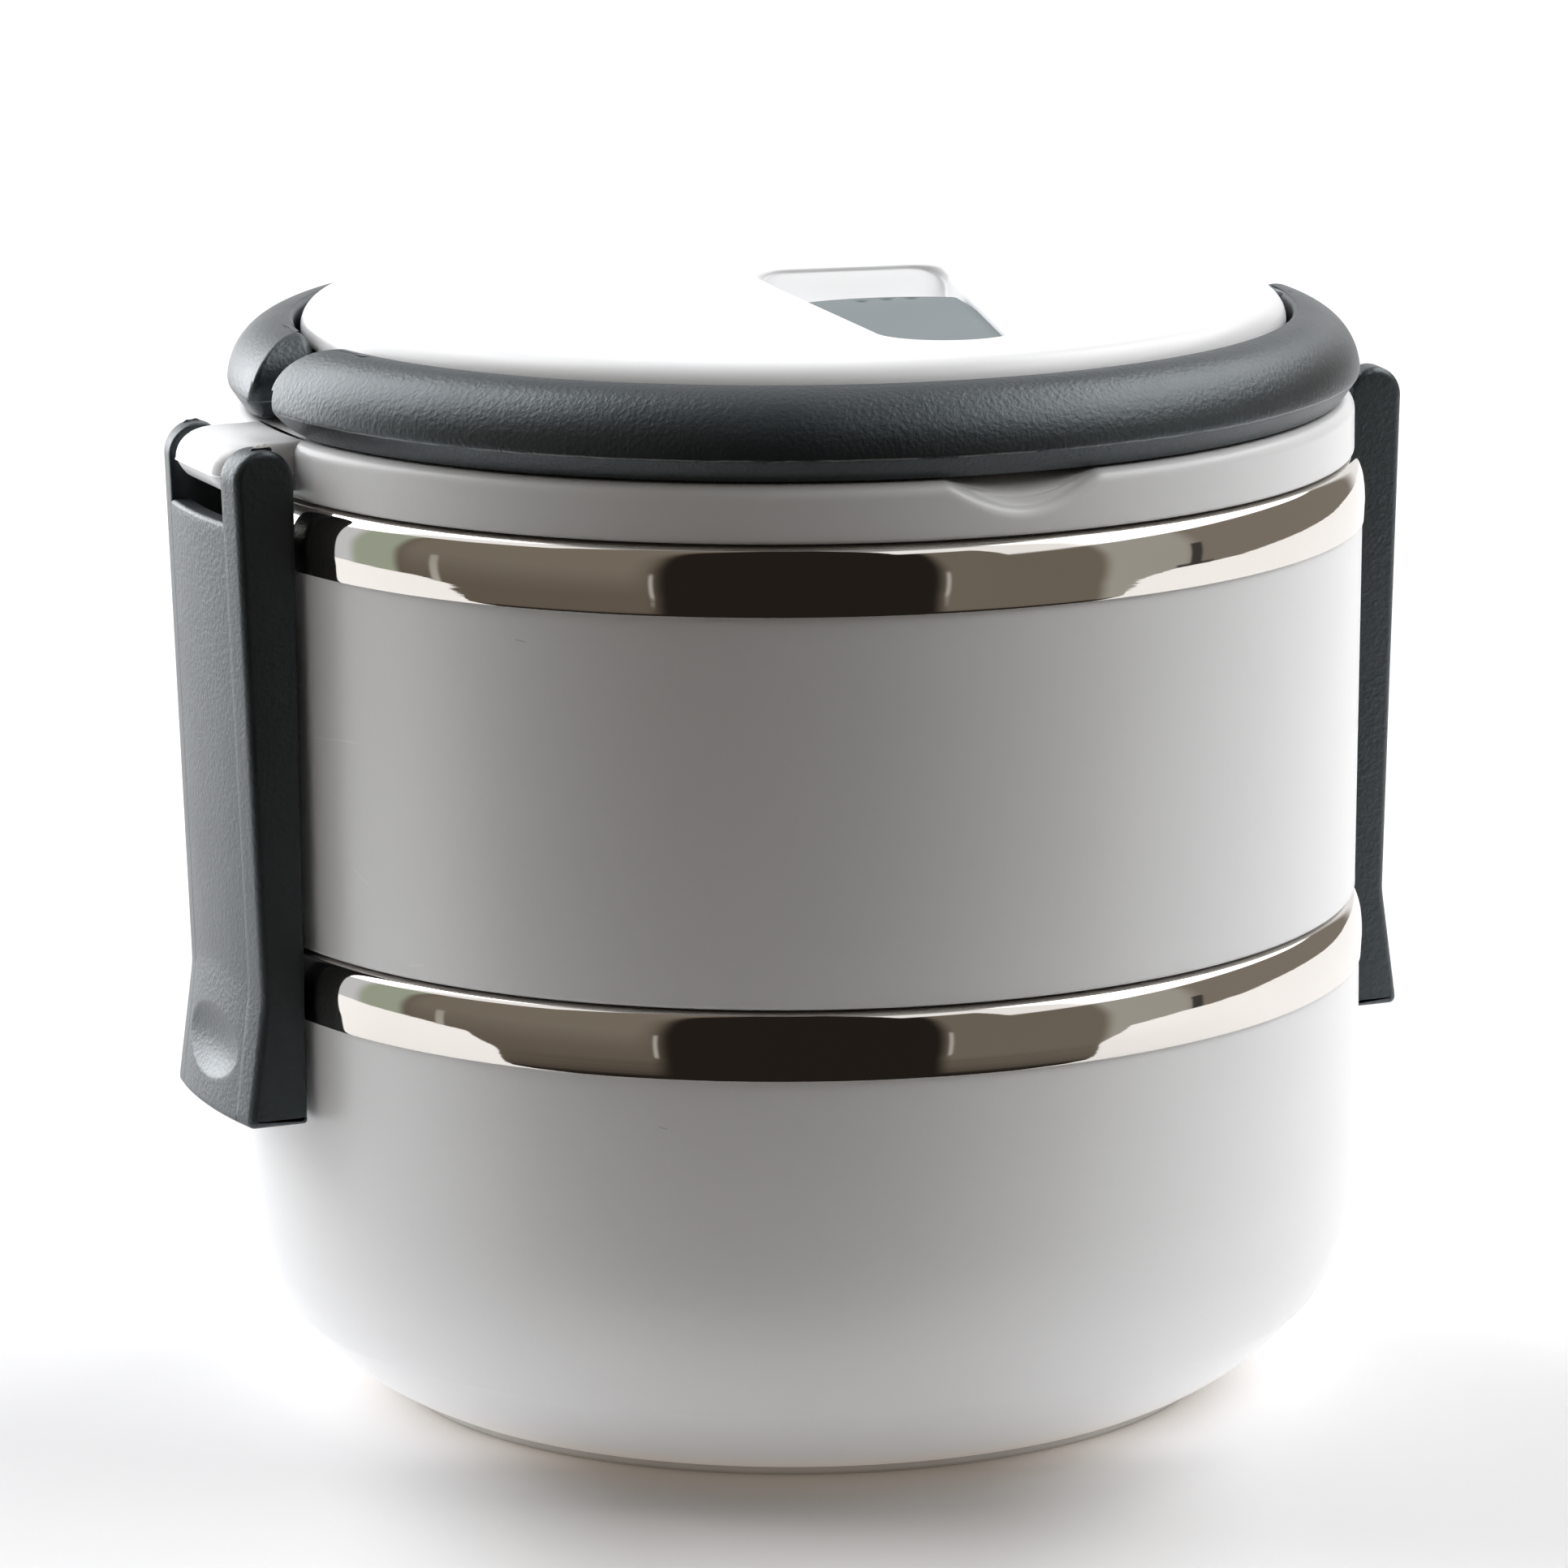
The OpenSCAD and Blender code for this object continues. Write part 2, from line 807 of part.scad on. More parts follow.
// everything inside the latch's turned outer face, less a skin of thickness t
module latch_turned(t, top) {
    edge = 1;
    rotate_extrude()
        polygon([[band_r - 2 * wall, latch_z], [latch_foot_r - edge - t, latch_z],
            [latch_foot_r - t, latch_z + edge], [latch_waist_r - t, waist_z],
            [latch_top_r - t, top], [band_r - 2 * wall, top]]);
}

module latch() {
    arm_y = latch_w / 2 - arm_t;
    floor_t = 2.2;
    hook_top = rib_z - gap;
    difference() {
        union() {
            intersection() {
                latch_turned(0, hinge_z + hinge_r);
                union() {
                    for (side = [-1, 1])
                        translate([arm_in, side > 0 ? arm_y : -latch_w / 2, latch_z])
                            cube([far, arm_t, hinge_z - latch_z]);
                    for (side = [-1, 1])
                        translate([hinge_x, side > 0 ? arm_y : -latch_w / 2, hinge_z])
                            rotate([-90, 0, 0])
                                cylinder(r = hinge_r, h = arm_t, $fn = 96);
                }
            }
            intersection() {
                difference() {
                    latch_turned(0, ledge_z);
                    translate([0, 0, -tiny])
                        latch_turned(web_t, ledge_z + 1);
                }
                translate([0, -arm_y - tiny, latch_z])
                    cube([far, 2 * arm_y + 2 * tiny, ledge_z - latch_z]);
            }
            intersection() {
                latch_turned(0, ledge_z);
                union() {
                    translate([hook_x, -arm_y - tiny, latch_z])
                        cube([far, 2 * arm_y + 2 * tiny, floor_t]);
                    translate([hook_x, -rib_half - 1, hook_top - hook_h])
                        cube([far, 2 * rib_half + 2, hook_h]);
                }
            }
        }
        translate([hinge_x, 0, hinge_z])
            rotate([90, 0, 0])
                cylinder(r = latch_pin_r, h = 2 * (arm_y + pin_blind), center = true, $fn = 64);
        thumb_dimple();
    }
}

// oval hollow: a barrel that is rounder across than along the latch
module thumb_dimple() {
    half_w = 9.5;
    half_h = 4.5;
    up = waist_up / 2;
    across_r = (half_w * half_w + dimple_depth * dimple_depth) / (2 * dimple_depth);
    along_r = (half_h * half_h + dimple_depth * dimple_depth) / (2 * dimple_depth);
    share = up / waist_up;
    face_r = latch_foot_r + (latch_waist_r - latch_foot_r) * share;
    translate([face_r - dimple_depth + across_r, 0, latch_z + up])
        rotate_extrude()
            translate([across_r - along_r, 0])
                circle(r = along_r);
}

module latch_pin() {
    translate([hinge_x, 0, hinge_z])
        rotate([90, 0, 0])
            cylinder(r = latch_pin_r, h = latch_w - 2 * arm_t + 2 * (pin_blind - fit), center = true,
                $fn = 64);
}

module right_latch_pin() {
    color(steel)
        latch_pin();
}

module left_latch_pin() {
    color(steel)
        mirror([1, 0, 0])
            latch_pin();
}

lower_shell();
lower_base_cap();
foot_ring();
lower_steel_bowl();
upper_shell();
upper_base_cap();
tier_seal();
upper_steel_bowl();
lid_body();
lid_liner();
lid_seal();
lid_top_plate();
vent_plug();
front_handle();
back_handle();
handle_pins();
left_latch();
right_latch();
left_latch_pin();
right_latch_pin();
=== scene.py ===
import math

import bmesh
import bpy
import numpy as np
from mathutils import Matrix, Vector


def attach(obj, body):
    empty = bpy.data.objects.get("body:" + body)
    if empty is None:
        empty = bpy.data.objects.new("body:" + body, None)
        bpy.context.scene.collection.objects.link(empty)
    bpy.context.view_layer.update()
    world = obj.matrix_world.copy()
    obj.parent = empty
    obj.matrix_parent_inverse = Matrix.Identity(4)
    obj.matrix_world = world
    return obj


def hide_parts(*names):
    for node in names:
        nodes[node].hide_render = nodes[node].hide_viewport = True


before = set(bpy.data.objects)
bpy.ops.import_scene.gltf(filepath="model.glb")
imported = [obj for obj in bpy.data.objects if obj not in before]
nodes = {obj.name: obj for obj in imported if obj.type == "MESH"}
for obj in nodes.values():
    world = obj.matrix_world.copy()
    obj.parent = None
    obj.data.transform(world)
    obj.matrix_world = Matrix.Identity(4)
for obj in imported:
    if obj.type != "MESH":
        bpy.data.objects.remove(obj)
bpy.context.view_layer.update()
mm = 0.001
mergeWithin = 2e-6

bowls = dict(bandR=75.0, shellR=74.5, linerR=71.9, sheet=0.6, bandH=8.5, rimLow=65.3, rimHigh=123.6,
             tierLow=65.6, wall=2.2, bendR=30.5, bendZ=29.0, stepZ=12.0, stepIn=0.5, footH=1.4,
             lean=1.4, lipStart=1.3, gapUnder=0.75, footR=55.0, footWidth=5.0, footSink=0.9)
catch = dict(r=75.4, root=72.8, z=52.3, nose=0.8, rise=2.6, half=8.0, bevel=0.25, shoulder=0.2)


def grid(points, wrapCols=False, caps=False):
    # one surface: its points in mm, its quads, and a flat cap over the first and last row; quad (i, j)
    # joins grid points (i, j), (i, j+1), (i+1, j+1) and (i+1, j)
    rows, cols = points.shape[:2]
    at = np.arange(rows * cols).reshape(rows, cols)
    if wrapCols:
        at = np.hstack([at, at[:, :1]])
    faces = np.stack([at[:-1, :-1], at[:-1, 1:], at[1:, 1:], at[1:, :-1]], -1).reshape(-1, 4).tolist()
    if caps:
        faces.append(list(range(cols))[::-1])
        faces.append(list(range((rows - 1) * cols, rows * cols)))
    return points.reshape(-1, 3), faces


def piece(name, parts, body, replaces=(), sharp=35):
    # joins the surfaces, closes seams and poles, turns every face outwards, fixes the piece to its body
    verts, faces, first = [], [], 0
    for points, quads in parts:
        verts.append(points)
        faces += [[v + first for v in q] for q in quads]
        first += len(points)
    mesh = bpy.data.meshes.new(name)
    mesh.from_pydata((np.vstack(verts) * mm).tolist(), [], faces)
    bm = bmesh.new()
    bm.from_mesh(mesh)
    bmesh.ops.remove_doubles(bm, verts=bm.verts, dist=mergeWithin)
    bmesh.ops.recalc_face_normals(bm, faces=bm.faces)
    bm.to_mesh(mesh)
    bm.free()
    mesh.shade_smooth()
    mesh.set_sharp_from_angle(angle=math.radians(sharp))
    obj = bpy.data.objects.new(name, mesh)
    bpy.context.scene.collection.objects.link(obj)
    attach(obj, body)
    if replaces:
        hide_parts(*replaces)
    print("made", name, len(mesh.polygons), "faces")
    return obj


def filleted(corners, steps=7):
    # a closed outline of (x, z, radius) corners, each rounded by an arc that touches both sides
    pts = []
    for i, (x, z, r) in enumerate(corners):
        p = np.array([x, z])
        a = np.array(corners[i - 1][:2]) - p
        b = np.array(corners[(i + 1) % len(corners)][:2]) - p
        if r <= 0:
            pts.append(p)
            continue
        a, b = a / np.linalg.norm(a), b / np.linalg.norm(b)
        half = math.acos(np.clip(a @ b, -1, 1)) / 2
        centre = p + (a + b) / np.linalg.norm(a + b) * r / math.sin(half)
        start, end = p + a * r / math.tan(half) - centre, p + b * r / math.tan(half) - centre
        turn = math.atan2(start[0] * end[1] - start[1] * end[0], start @ end)
        for t in np.linspace(0, turn, steps):
            c, s = math.cos(t), math.sin(t)
            pts.append(centre + [start[0] * c - start[1] * s, start[0] * s + start[1] * c])
    return np.array(pts)


def resample(outline, spacing):
    # more points on the long sides of a closed outline
    out = []
    for a, b in zip(outline, np.roll(outline, -1, 0)):
        n = max(1, int(np.ceil(np.linalg.norm(b - a) / spacing)))
        out.append(a + (b - a) * (np.arange(n) / n)[:, None])
    return np.vstack(out)


def revolved(profile, segments=360):
    # point (r, z) of the profile at angle a goes to (r cos a, r sin a, z); the last column meets the first
    a = np.arange(segments + 1) * 2 * np.pi / segments
    r, z = profile[:, :1], profile[:, 1:]
    return np.stack([r * np.cos(a), r * np.sin(a), z + 0 * a], -1)


def smooth(edge0, edge1, x):
    # 3 t squared minus 2 t cubed, from 0 at edge0 to 1 at edge1
    t = np.clip((x - edge0) / (edge1 - edge0), 0, 1)
    return t * t * (3 - 2 * t)


def bandOutside(top):
    # outside of a rolled steel rim, from its lower hem up and over to its inner edge
    r = bowls["bandR"]
    low = top - bowls["bandH"]
    return np.array([[r - 0.3, low], [r - 0.17, low + 0.02], [r - 0.13, low + 0.12],
                     [r - 0.1, low + 0.6], [r - 0.06, low + 1.6], [r - 0.03, low + 2.8],
                     [r - 0.08, low + 4.0], [r - 0.19, low + 5.0], [r - 0.35, low + 5.9],
                     [r - 0.58, low + 6.7], [r - 0.86, low + 7.4], [r - 1.2, low + 7.95],
                     [r - 1.65, low + 8.3], [r - 2.2, low + 8.46], [r - 2.8, low + 8.5]])


def smoothLine(points, spacing):
    # Catmull-Rom curve through the points, sampled about every spacing
    p = np.vstack([2 * points[0] - points[1], points, 2 * points[-1] - points[-2]])
    out = []
    for a, b, c, d in zip(p[:-3], p[1:-2], p[2:-1], p[3:]):
        n = max(2, int(np.ceil(np.linalg.norm(c - b) / spacing)))
        t = (np.arange(n) / n)[:, None]
        out.append(0.5 * (2 * b + (c - a) * t + (2 * a - 5 * b + 4 * c - d) * t**2
                          + (3 * b - a - 3 * c + d) * t**3))
    return np.vstack(out + [points[-1:]])


def steelBowl(name, top, floorZ, corner, body, node):
    # drawn bowl: floor, corner, leaning wall, rolled rim, and the same again on the outside
    bore, t = bowls["linerR"] - bowls["sheet"], bowls["sheet"]
    side = bowls["linerR"] - bowls["lean"]
    turn = floorZ + corner
    a = np.radians(np.linspace(-90, 0, 24))
    inside = np.stack([side - corner + (corner - t) * np.cos(a), turn + (corner - t) * np.sin(a)], 1)
    outside = np.stack([side - corner + corner * np.cos(a), turn + corner * np.sin(a)], 1)
    low = top - bowls["bandH"]
    lip = np.array([[bore, top - bowls["lipStart"]], [bore + 0.15, top - 0.62], [bore + 0.55, top - 0.18],
                    [bore + 0.9, top]])
    band = smoothLine(bandOutside(top), 0.3)[::-1]
    skirt = np.array([[bowls["bandR"] - 0.65, low], [bowls["bandR"] - 0.62, low + 4.5],
                      [bowls["bandR"] - 1.7, top - bowls["gapUnder"]],
                      [bowls["linerR"], top - bowls["gapUnder"]],
                      [bowls["linerR"], low]])
    profile = np.vstack([[[0, floorZ + t]], inside, [[bore, low]], lip, band, skirt, outside[::-1],
                         [[0, floorZ]]])
    return piece(name, [grid(revolved(profile, 480))], body, [node])


def shellRing(name, outline, body, node, extra=()):
    # ring with the given closed section, and any further surfaces of the same piece
    closed = np.vstack([outline, outline[:1]])
    return piece(name, [grid(revolved(closed, 360))] + list(extra), body, [node])


def bendArc(radius, zFrom, zTo, count=40):
    # part of the rounded bottom's profile between two heights
    centre = bowls["shellR"] - bowls["bendR"]
    a0, a1 = (math.asin((z - bowls["bendZ"]) / radius) for z in (zFrom, zTo))
    a = np.linspace(a0, a1, count)
    return np.stack([centre + radius * np.cos(a), bowls["bendZ"] + radius * np.sin(a)], 1)


def catchRib(side):
    # rib with a sloping top under the lower band, where the latch hook snaps in
    c = catch
    outline = filleted([(c["root"], c["z"], 0), (c["r"], c["z"], 0.25), (c["r"], c["z"] + c["nose"], 0.3),
                        (c["root"], c["z"] + c["rise"], 0)])
    y = np.array([-c["half"], c["shoulder"] - c["half"], c["half"] - c["shoulder"], c["half"]])
    inset = np.array([c["bevel"], 0, 0, c["bevel"]])
    rows = np.stack([np.stack([side * (outline[:, 0] - d), np.full(len(outline), v), outline[:, 1]], -1)
                     for v, d in zip(y, inset)])
    return grid(rows, wrapCols=True, caps=True)


def lowerTier():
    # outer wall down to the step line, and the rounded base that shows below it
    top, wall, r = bowls["rimLow"], bowls["wall"], bowls["shellR"]
    low = top - bowls["bandH"]
    step = bowls["stepZ"]
    edge = bendArc(bowls["bendR"], step + 0.12, bowls["bendZ"])
    inner = bendArc(bowls["bendR"] - wall, step, bowls["bendZ"])[::-1]
    outline = np.vstack([[edge[0] + [-0.45, -0.12]], [edge[0] + [-0.12, -0.1]], edge, [[r, 45], [r, low]],
                         [[r - 0.15, low], [r - 0.2, low + 4.4], [r - 1.3, top - 0.9], [r - wall, top - 0.9],
                          [r - wall, low]], inner])
    shell = shellRing("lowerShell", outline, "lower_tier", "lower_shell", [catchRib(1), catchRib(-1)])
    cap = bowls["bendR"] - bowls["stepIn"]
    outer = bendArc(cap, bowls["footH"] + 0.25, step + 1.5)
    inner = bendArc(cap - wall, bowls["footH"] + wall, step + 1.5)[::-1]
    flat = bowls["footH"]
    profile = np.vstack([[[0, flat]], [outer[0] + [-0.9, -0.25]], [outer[0] + [-0.35, -0.18]], outer, inner,
                         [[0, flat + wall]]])
    base = piece("baseCap", [grid(revolved(profile, 360))], "lower_tier", ["lower_base_cap"])
    return shell, base


def upperTier():
    # slightly tapered outer wall with a rounded lower edge
    z, top, wall, r = bowls["tierLow"], bowls["rimHigh"], bowls["wall"], bowls["shellR"]
    low = top - bowls["bandH"]
    lowR = r - 0.6
    outline = np.vstack([filleted([(lowR - wall, z, 0.3), (lowR, z, 0.55), (lowR + 0.001, z + 2, 0)]),
                         [[r - 0.3, z + 25], [r, low - 1], [r, low], [r - 0.15, low], [r - 0.2, low + 4.4],
                          [r - 1.3, top - 0.9], [r - wall, top - 0.9], [r - wall, low]]])
    return shellRing("upperShell", outline, "upper_tier", "upper_shell")


lid = dict(rimR=73.4, low=123.9, deck=131.1, wall=2.9, shoulder=1.8, drumR=62.0, drumTop=142.4,
           scoopHalf=10.3, scoopDepth=3.6, hingeX=79.09, hingeZ=127.19, hingeR=3.91,
           earHalf=9.7, earLow=124.9, earRoot=70.8, earTop=2.0, earSide=1.3, noseR=3.2, noseSlope=0.42,
           noseMin=78.2, flash=0.1, axisY=8.65, axisZ=136.9, bossR=2.5, bossFrom=58.5, bossTo=64.4,
           scoopFrom=66.5, wallFrom=2.0, lowEdge=0.45, drumIn=59.8)


def scooped(p):
    # lowers the rim's edge along an arc at front and back: a hollow that runs out towards the drum
    x, y, z = p[..., 0], p[..., 1], p[..., 2]
    r = np.hypot(x, y)
    across = np.clip(1 - (x / lid["scoopHalf"]) ** 2, 0, 1)
    across = across ** 1.25 * (np.abs(y) > 55)
    low, high = lid["low"] + 1.0, lid["deck"] - lid["shoulder"]
    up = np.clip((z - low) / (high - low), 0, 1)
    out = np.clip((r - lid["scoopFrom"]) / (lid["rimR"] - lid["scoopFrom"]), 0, 1) ** 1.5
    top = z > lid["deck"] - lid["wall"] + 0.05
    wall = r > lid["rimR"] - lid["wallFrom"]
    drop = lid["scoopDepth"] * across * np.where(wall, up, out * top)
    # the wall's inner side goes down a little less than its outer side
    drop = np.where(wall, drop * np.clip((r - 71.0) / 1.2, 0.75, 1), drop)
    return np.stack([x, y, z - drop], -1)


def ear(side):
    # pad with a round nose and soft top edges: plan outlines stacked over the height; under the
    # parting line, which keeps a thin ridge of flash, the nose slopes in
    a = np.radians(np.linspace(0, 90, 9))
    low, top, mid = lid["earLow"], lid["deck"], lid["hingeZ"]
    heights = np.concatenate([[low, low + 0.12, low + 0.35], np.linspace(low + 0.8, mid - 0.3, 5),
                              mid + np.array([-0.12, -0.05, 0, 0.05, 0.12, 0.35]),
                              np.linspace(mid + 0.7, top - 2.2, 4), top - lid["earTop"] * (1 - np.sin(a))])
    rows = []
    for z in heights:
        nose = lid["hingeX"] + math.sqrt(max(lid["hingeR"] ** 2 - (z - mid) ** 2, 0))
        below = max(0, mid - 0.04 - z)
        nose -= lid["noseSlope"] * below + (0.16 if below > 0 else 0)
        rise = np.clip((z - (top - lid["earTop"])) / lid["earTop"], 0, 1)
        tuck = 0.3 * max(0, 1 - (z - low) / 0.35) ** 2
        flash = lid["flash"] * math.exp(-((z - mid) / 0.06) ** 2)
        half = lid["earHalf"] - lid["earSide"] * (1 - math.sqrt(1 - rise ** 2)) - tuck
        half += flash - (0.12 if below > 0 else 0)
        nose = max(nose - tuck, lid["noseMin"]) + flash
        root, bend = lid["earRoot"], lid["noseR"]
        plan = filleted([(root, -half, 0), (nose, -half, bend), (nose, half, bend), (root, half, 0)], 9)
        rows.append((z, resample(plan, 2.5)))
    count = min(len(p) for _, p in rows)
    rows = [np.stack([side * p[:count, 0], p[:count, 1], np.full(count, z)], -1) for z, p in rows]
    return grid(np.stack(rows), wrapCols=True, caps=True)


def bar(start, end, radius, bevel=0.3, count=40):
    # round bar along X between two points, with small rounded ends
    a = np.arange(count) * 2 * np.pi / count
    length = abs(end[0] - start[0])
    way = np.sign(end[0] - start[0])
    steps = [(0, radius - bevel), (0.3 * bevel, radius - 0.3 * bevel), (bevel, radius),
             (length - bevel, radius), (length - 0.3 * bevel, radius - 0.3 * bevel), (length, radius - bevel)]
    rows = [np.stack([np.full(count, start[0] + way * d), start[1] + r * np.cos(a),
                      start[2] + r * np.sin(a)], -1) for d, r in steps]
    return grid(np.stack(rows), wrapCols=True, caps=True)


def lidBody():
    # rim, deck and drum in one revolved profile, two latch ears and four bosses for the handles' ends
    deck, r, s = lid["deck"], lid["rimR"], lid["shoulder"]
    e = lid["lowEdge"]
    a = np.radians(np.linspace(90, 0, 12))
    shoulder = np.stack([r - s + s * np.cos(a), deck - s + s * np.sin(a)], 1)
    a = np.radians(np.linspace(0, -90, 6))
    lowEdge = np.stack([r - e + e * np.cos(a), lid["low"] + e + e * np.sin(a)], 1)
    deckLine = np.stack([np.linspace(lid["drumR"] + 0.6, r - s - 0.3, 22), np.full(22, deck)], 1)
    wallLine = np.stack([np.full(9, r), np.linspace(deck - s - 0.3, lid["low"] + 0.8, 9)], 1)
    drumR, drumTop = lid["drumR"], lid["drumTop"]
    drum = np.array([[lid["drumIn"], deck], [lid["drumIn"], drumTop], [drumR - 0.2, drumTop],
                     [drumR, drumTop - 0.2], [drumR, deck + 0.5], [drumR + 0.15, deck + 0.15]])
    under = np.array([[r - lid["wall"], lid["low"]], [r - lid["wall"], deck - lid["wall"]],
                      [0, deck - lid["wall"]]])
    profile = np.vstack([[[0, deck]], drum, deckLine, shoulder, wallLine, lowEdge, under])
    rim = grid(scooped(revolved(profile, 900)))
    bosses = [bar((side * lid["bossFrom"], h * lid["axisY"], lid["axisZ"]),
                  (side * lid["bossTo"], h * lid["axisY"], lid["axisZ"]), lid["bossR"])
              for side in (-1, 1) for h in (-1, 1)]
    return piece("lidBody", [rim, ear(1), ear(-1)] + bosses, "lid", ["lid_body"], 50)


vent = dict(x=4.0, y=-40.0, turn=11.0, r=9.5, frontS=0.0, backHalf=14.8, length=58.5, corner=6.0, seat=140.0,
            hollowLow=138.9, hollowR=24.0, hollowAhead=1.8, rimSoft=1.5, poleS=27.0, plateTop=144.6,
            plateR=64.4, edge=3.6, skirt=139.9, under=142.4, skirtIn=62.2, floorWall=1.7, rimR=1.7,
            sharpR=0.4, floorR=0.8, plugGap=0.5, plugLow=140.2, plugTop=142.9, plugHalf=10.7,
            plugLength=41.5, plugBackR=24.0, plugWaist=10.6, plugEdge=0.55, holeS=20.0)


def ventFrame(w, s, z):
    # the vent's own across and along directions, turned and moved onto the lid
    t = math.radians(vent["turn"])
    return np.stack([vent["x"] + w * math.cos(t) + s * math.sin(t),
                     vent["y"] - w * math.sin(t) + s * math.cos(t), z + 0 * w], -1)


def ventOutline():
    # front half circle, straight sides that spread, rounded back corners
    v = vent
    a = np.radians(np.linspace(180, 360, 40))
    front = np.stack([v["r"] * np.cos(a), v["frontS"] + v["r"] * np.sin(a)], 1)
    back = filleted([(v["r"], v["frontS"], 0), (v["backHalf"], v["length"], v["corner"]),
                     (-v["backHalf"], v["length"], v["corner"]), (-v["r"], v["frontS"], 0)], 16)
    return resample(np.vstack([front[1:-1], back]), 0.7)


def evenly(line, count):
    # the closed outline again, with its points spread evenly
    closed = np.vstack([line, line[:1]])
    run = np.concatenate([[0], np.cumsum(np.linalg.norm(np.diff(closed, axis=0), axis=1))])
    at = np.arange(count) / count * run[-1]
    return np.stack([np.interp(at, run, closed[:, k]) for k in (0, 1)], 1)


def outward(line):
    # unit normal of a closed outline that runs anticlockwise
    along = np.roll(line, -1, 0) - np.roll(line, 1, 0)
    along = along / np.linalg.norm(along, axis=1)[:, None]
    return np.stack([along[:, 1], -along[:, 0]], 1)


def recessFloor(s):
    # flat seat, then a cylinder's hollow that rises to the plate at the back, its rim rounded off
    v = vent
    rise, r = v["plateTop"] - v["hollowLow"], v["hollowR"]
    at = s + v["hollowAhead"] - (v["length"] - math.sqrt(rise * (2 * r - rise)))
    hollow = v["hollowLow"] + r - np.sqrt(r ** 2 - np.clip(at, 0.1 - r, r - 0.1) ** 2)
    z = np.where(at < 0, np.minimum(hollow, v["seat"]), hollow)
    return v["plateTop"] - v["rimSoft"] * np.logaddexp(0, (v["plateTop"] - z) / v["rimSoft"])


def topPlate():
    # one surface from the middle of the recess over its rim, the plate and its round edge to the underside
    v = vent
    line = evenly(ventOutline(), 360)
    normal = outward(line)
    pole = np.array([0.0, v["poleS"]])
    rows = []
    w, s = line[:, 0], line[:, 1]
    depth = v["plateTop"] - recessFloor(s - 1.0)
    nearLeft = smooth(0.2, 0.9, -normal[:, 0]) * smooth(50, 40, s)
    topR = np.minimum(v["rimR"] + (v["sharpR"] - v["rimR"]) * nearLeft, 0.45 * depth)
    lowR = np.minimum(v["floorR"], 0.4 * depth)
    inner = line - normal * (topR + lowR)[:, None]
    for t in np.linspace(0, 1, 45)[:-1]:
        p = pole + (inner - pole) * t
        rows.append(ventFrame(p[:, 0], p[:, 1], recessFloor(p[:, 1])))
    base = recessFloor(inner[:, 1])
    for b in np.radians(np.linspace(0, 90, 6)):
        p = line - normal * (topR + lowR * (1 - math.sin(b)))[:, None]
        rows.append(ventFrame(p[:, 0], p[:, 1], base + lowR * (1 - math.cos(b))))
    for b in np.radians(np.linspace(0, 90, 9)):
        p = line - normal * (topR * math.cos(b))[:, None]
        rows.append(ventFrame(p[:, 0], p[:, 1], v["plateTop"] - topR + topR * math.sin(b)))
    seen = len(rows)
    # from the recess to the plate's rounded edge along rays from the pole
    start = ventFrame(w, s, np.full(len(w), v["plateTop"]))
    centre = ventFrame(pole[:1], pole[1:], np.array([v["plateTop"]]))[0]
    ray = (start - centre)[:, :2]
    ray = ray / np.linalg.norm(ray, axis=1)[:, None]
    flatR = v["plateR"] - v["edge"]
    along = ray @ centre[:2]
    reach = -along + np.sqrt(along ** 2 - centre[:2] @ centre[:2] + flatR ** 2)
    rim = centre[:2] + ray * reach[:, None]
    for t in np.linspace(0, 1, 18)[1:]:
        xy = start[:, :2] + (rim - start[:, :2]) * t ** 1.15
        rows.append(np.column_stack([xy, np.full(len(w), v["plateTop"])]))
    out = rim / np.linalg.norm(rim, axis=1)[:, None]
    for b in np.radians(np.linspace(0, 90, 15))[1:]:
        xy = out * (flatR + v["edge"] * math.sin(b))
        z = v["plateTop"] - v["edge"] + v["edge"] * math.cos(b)
        rows.append(np.column_stack([xy, np.full(len(w), z)]))
    for r, z in ((v["plateR"], v["skirt"] + 0.3), (v["plateR"] - 0.3, v["skirt"]),
                 (v["skirtIn"], v["skirt"]), (v["skirtIn"], v["under"])):
        rows.append(np.column_stack([out * r, np.full(len(w), z)]))
    # the underside follows the recess at a constant wall
    for row in rows[:seen + 17][::-1]:
        low = np.minimum(v["under"], row[:, 2] - v["floorWall"])
        rows.append(np.column_stack([row[:, :2], low]))
    return piece("topPlate", [grid(np.stack(rows), wrapCols=True)], "lid",
                 ["lid_top_plate"], 60)


plugDots = ((-2.44, 38.24), (1.13, 39.24), (4.47, 39.38))
dotR, dotDepth = 0.75, 0.55


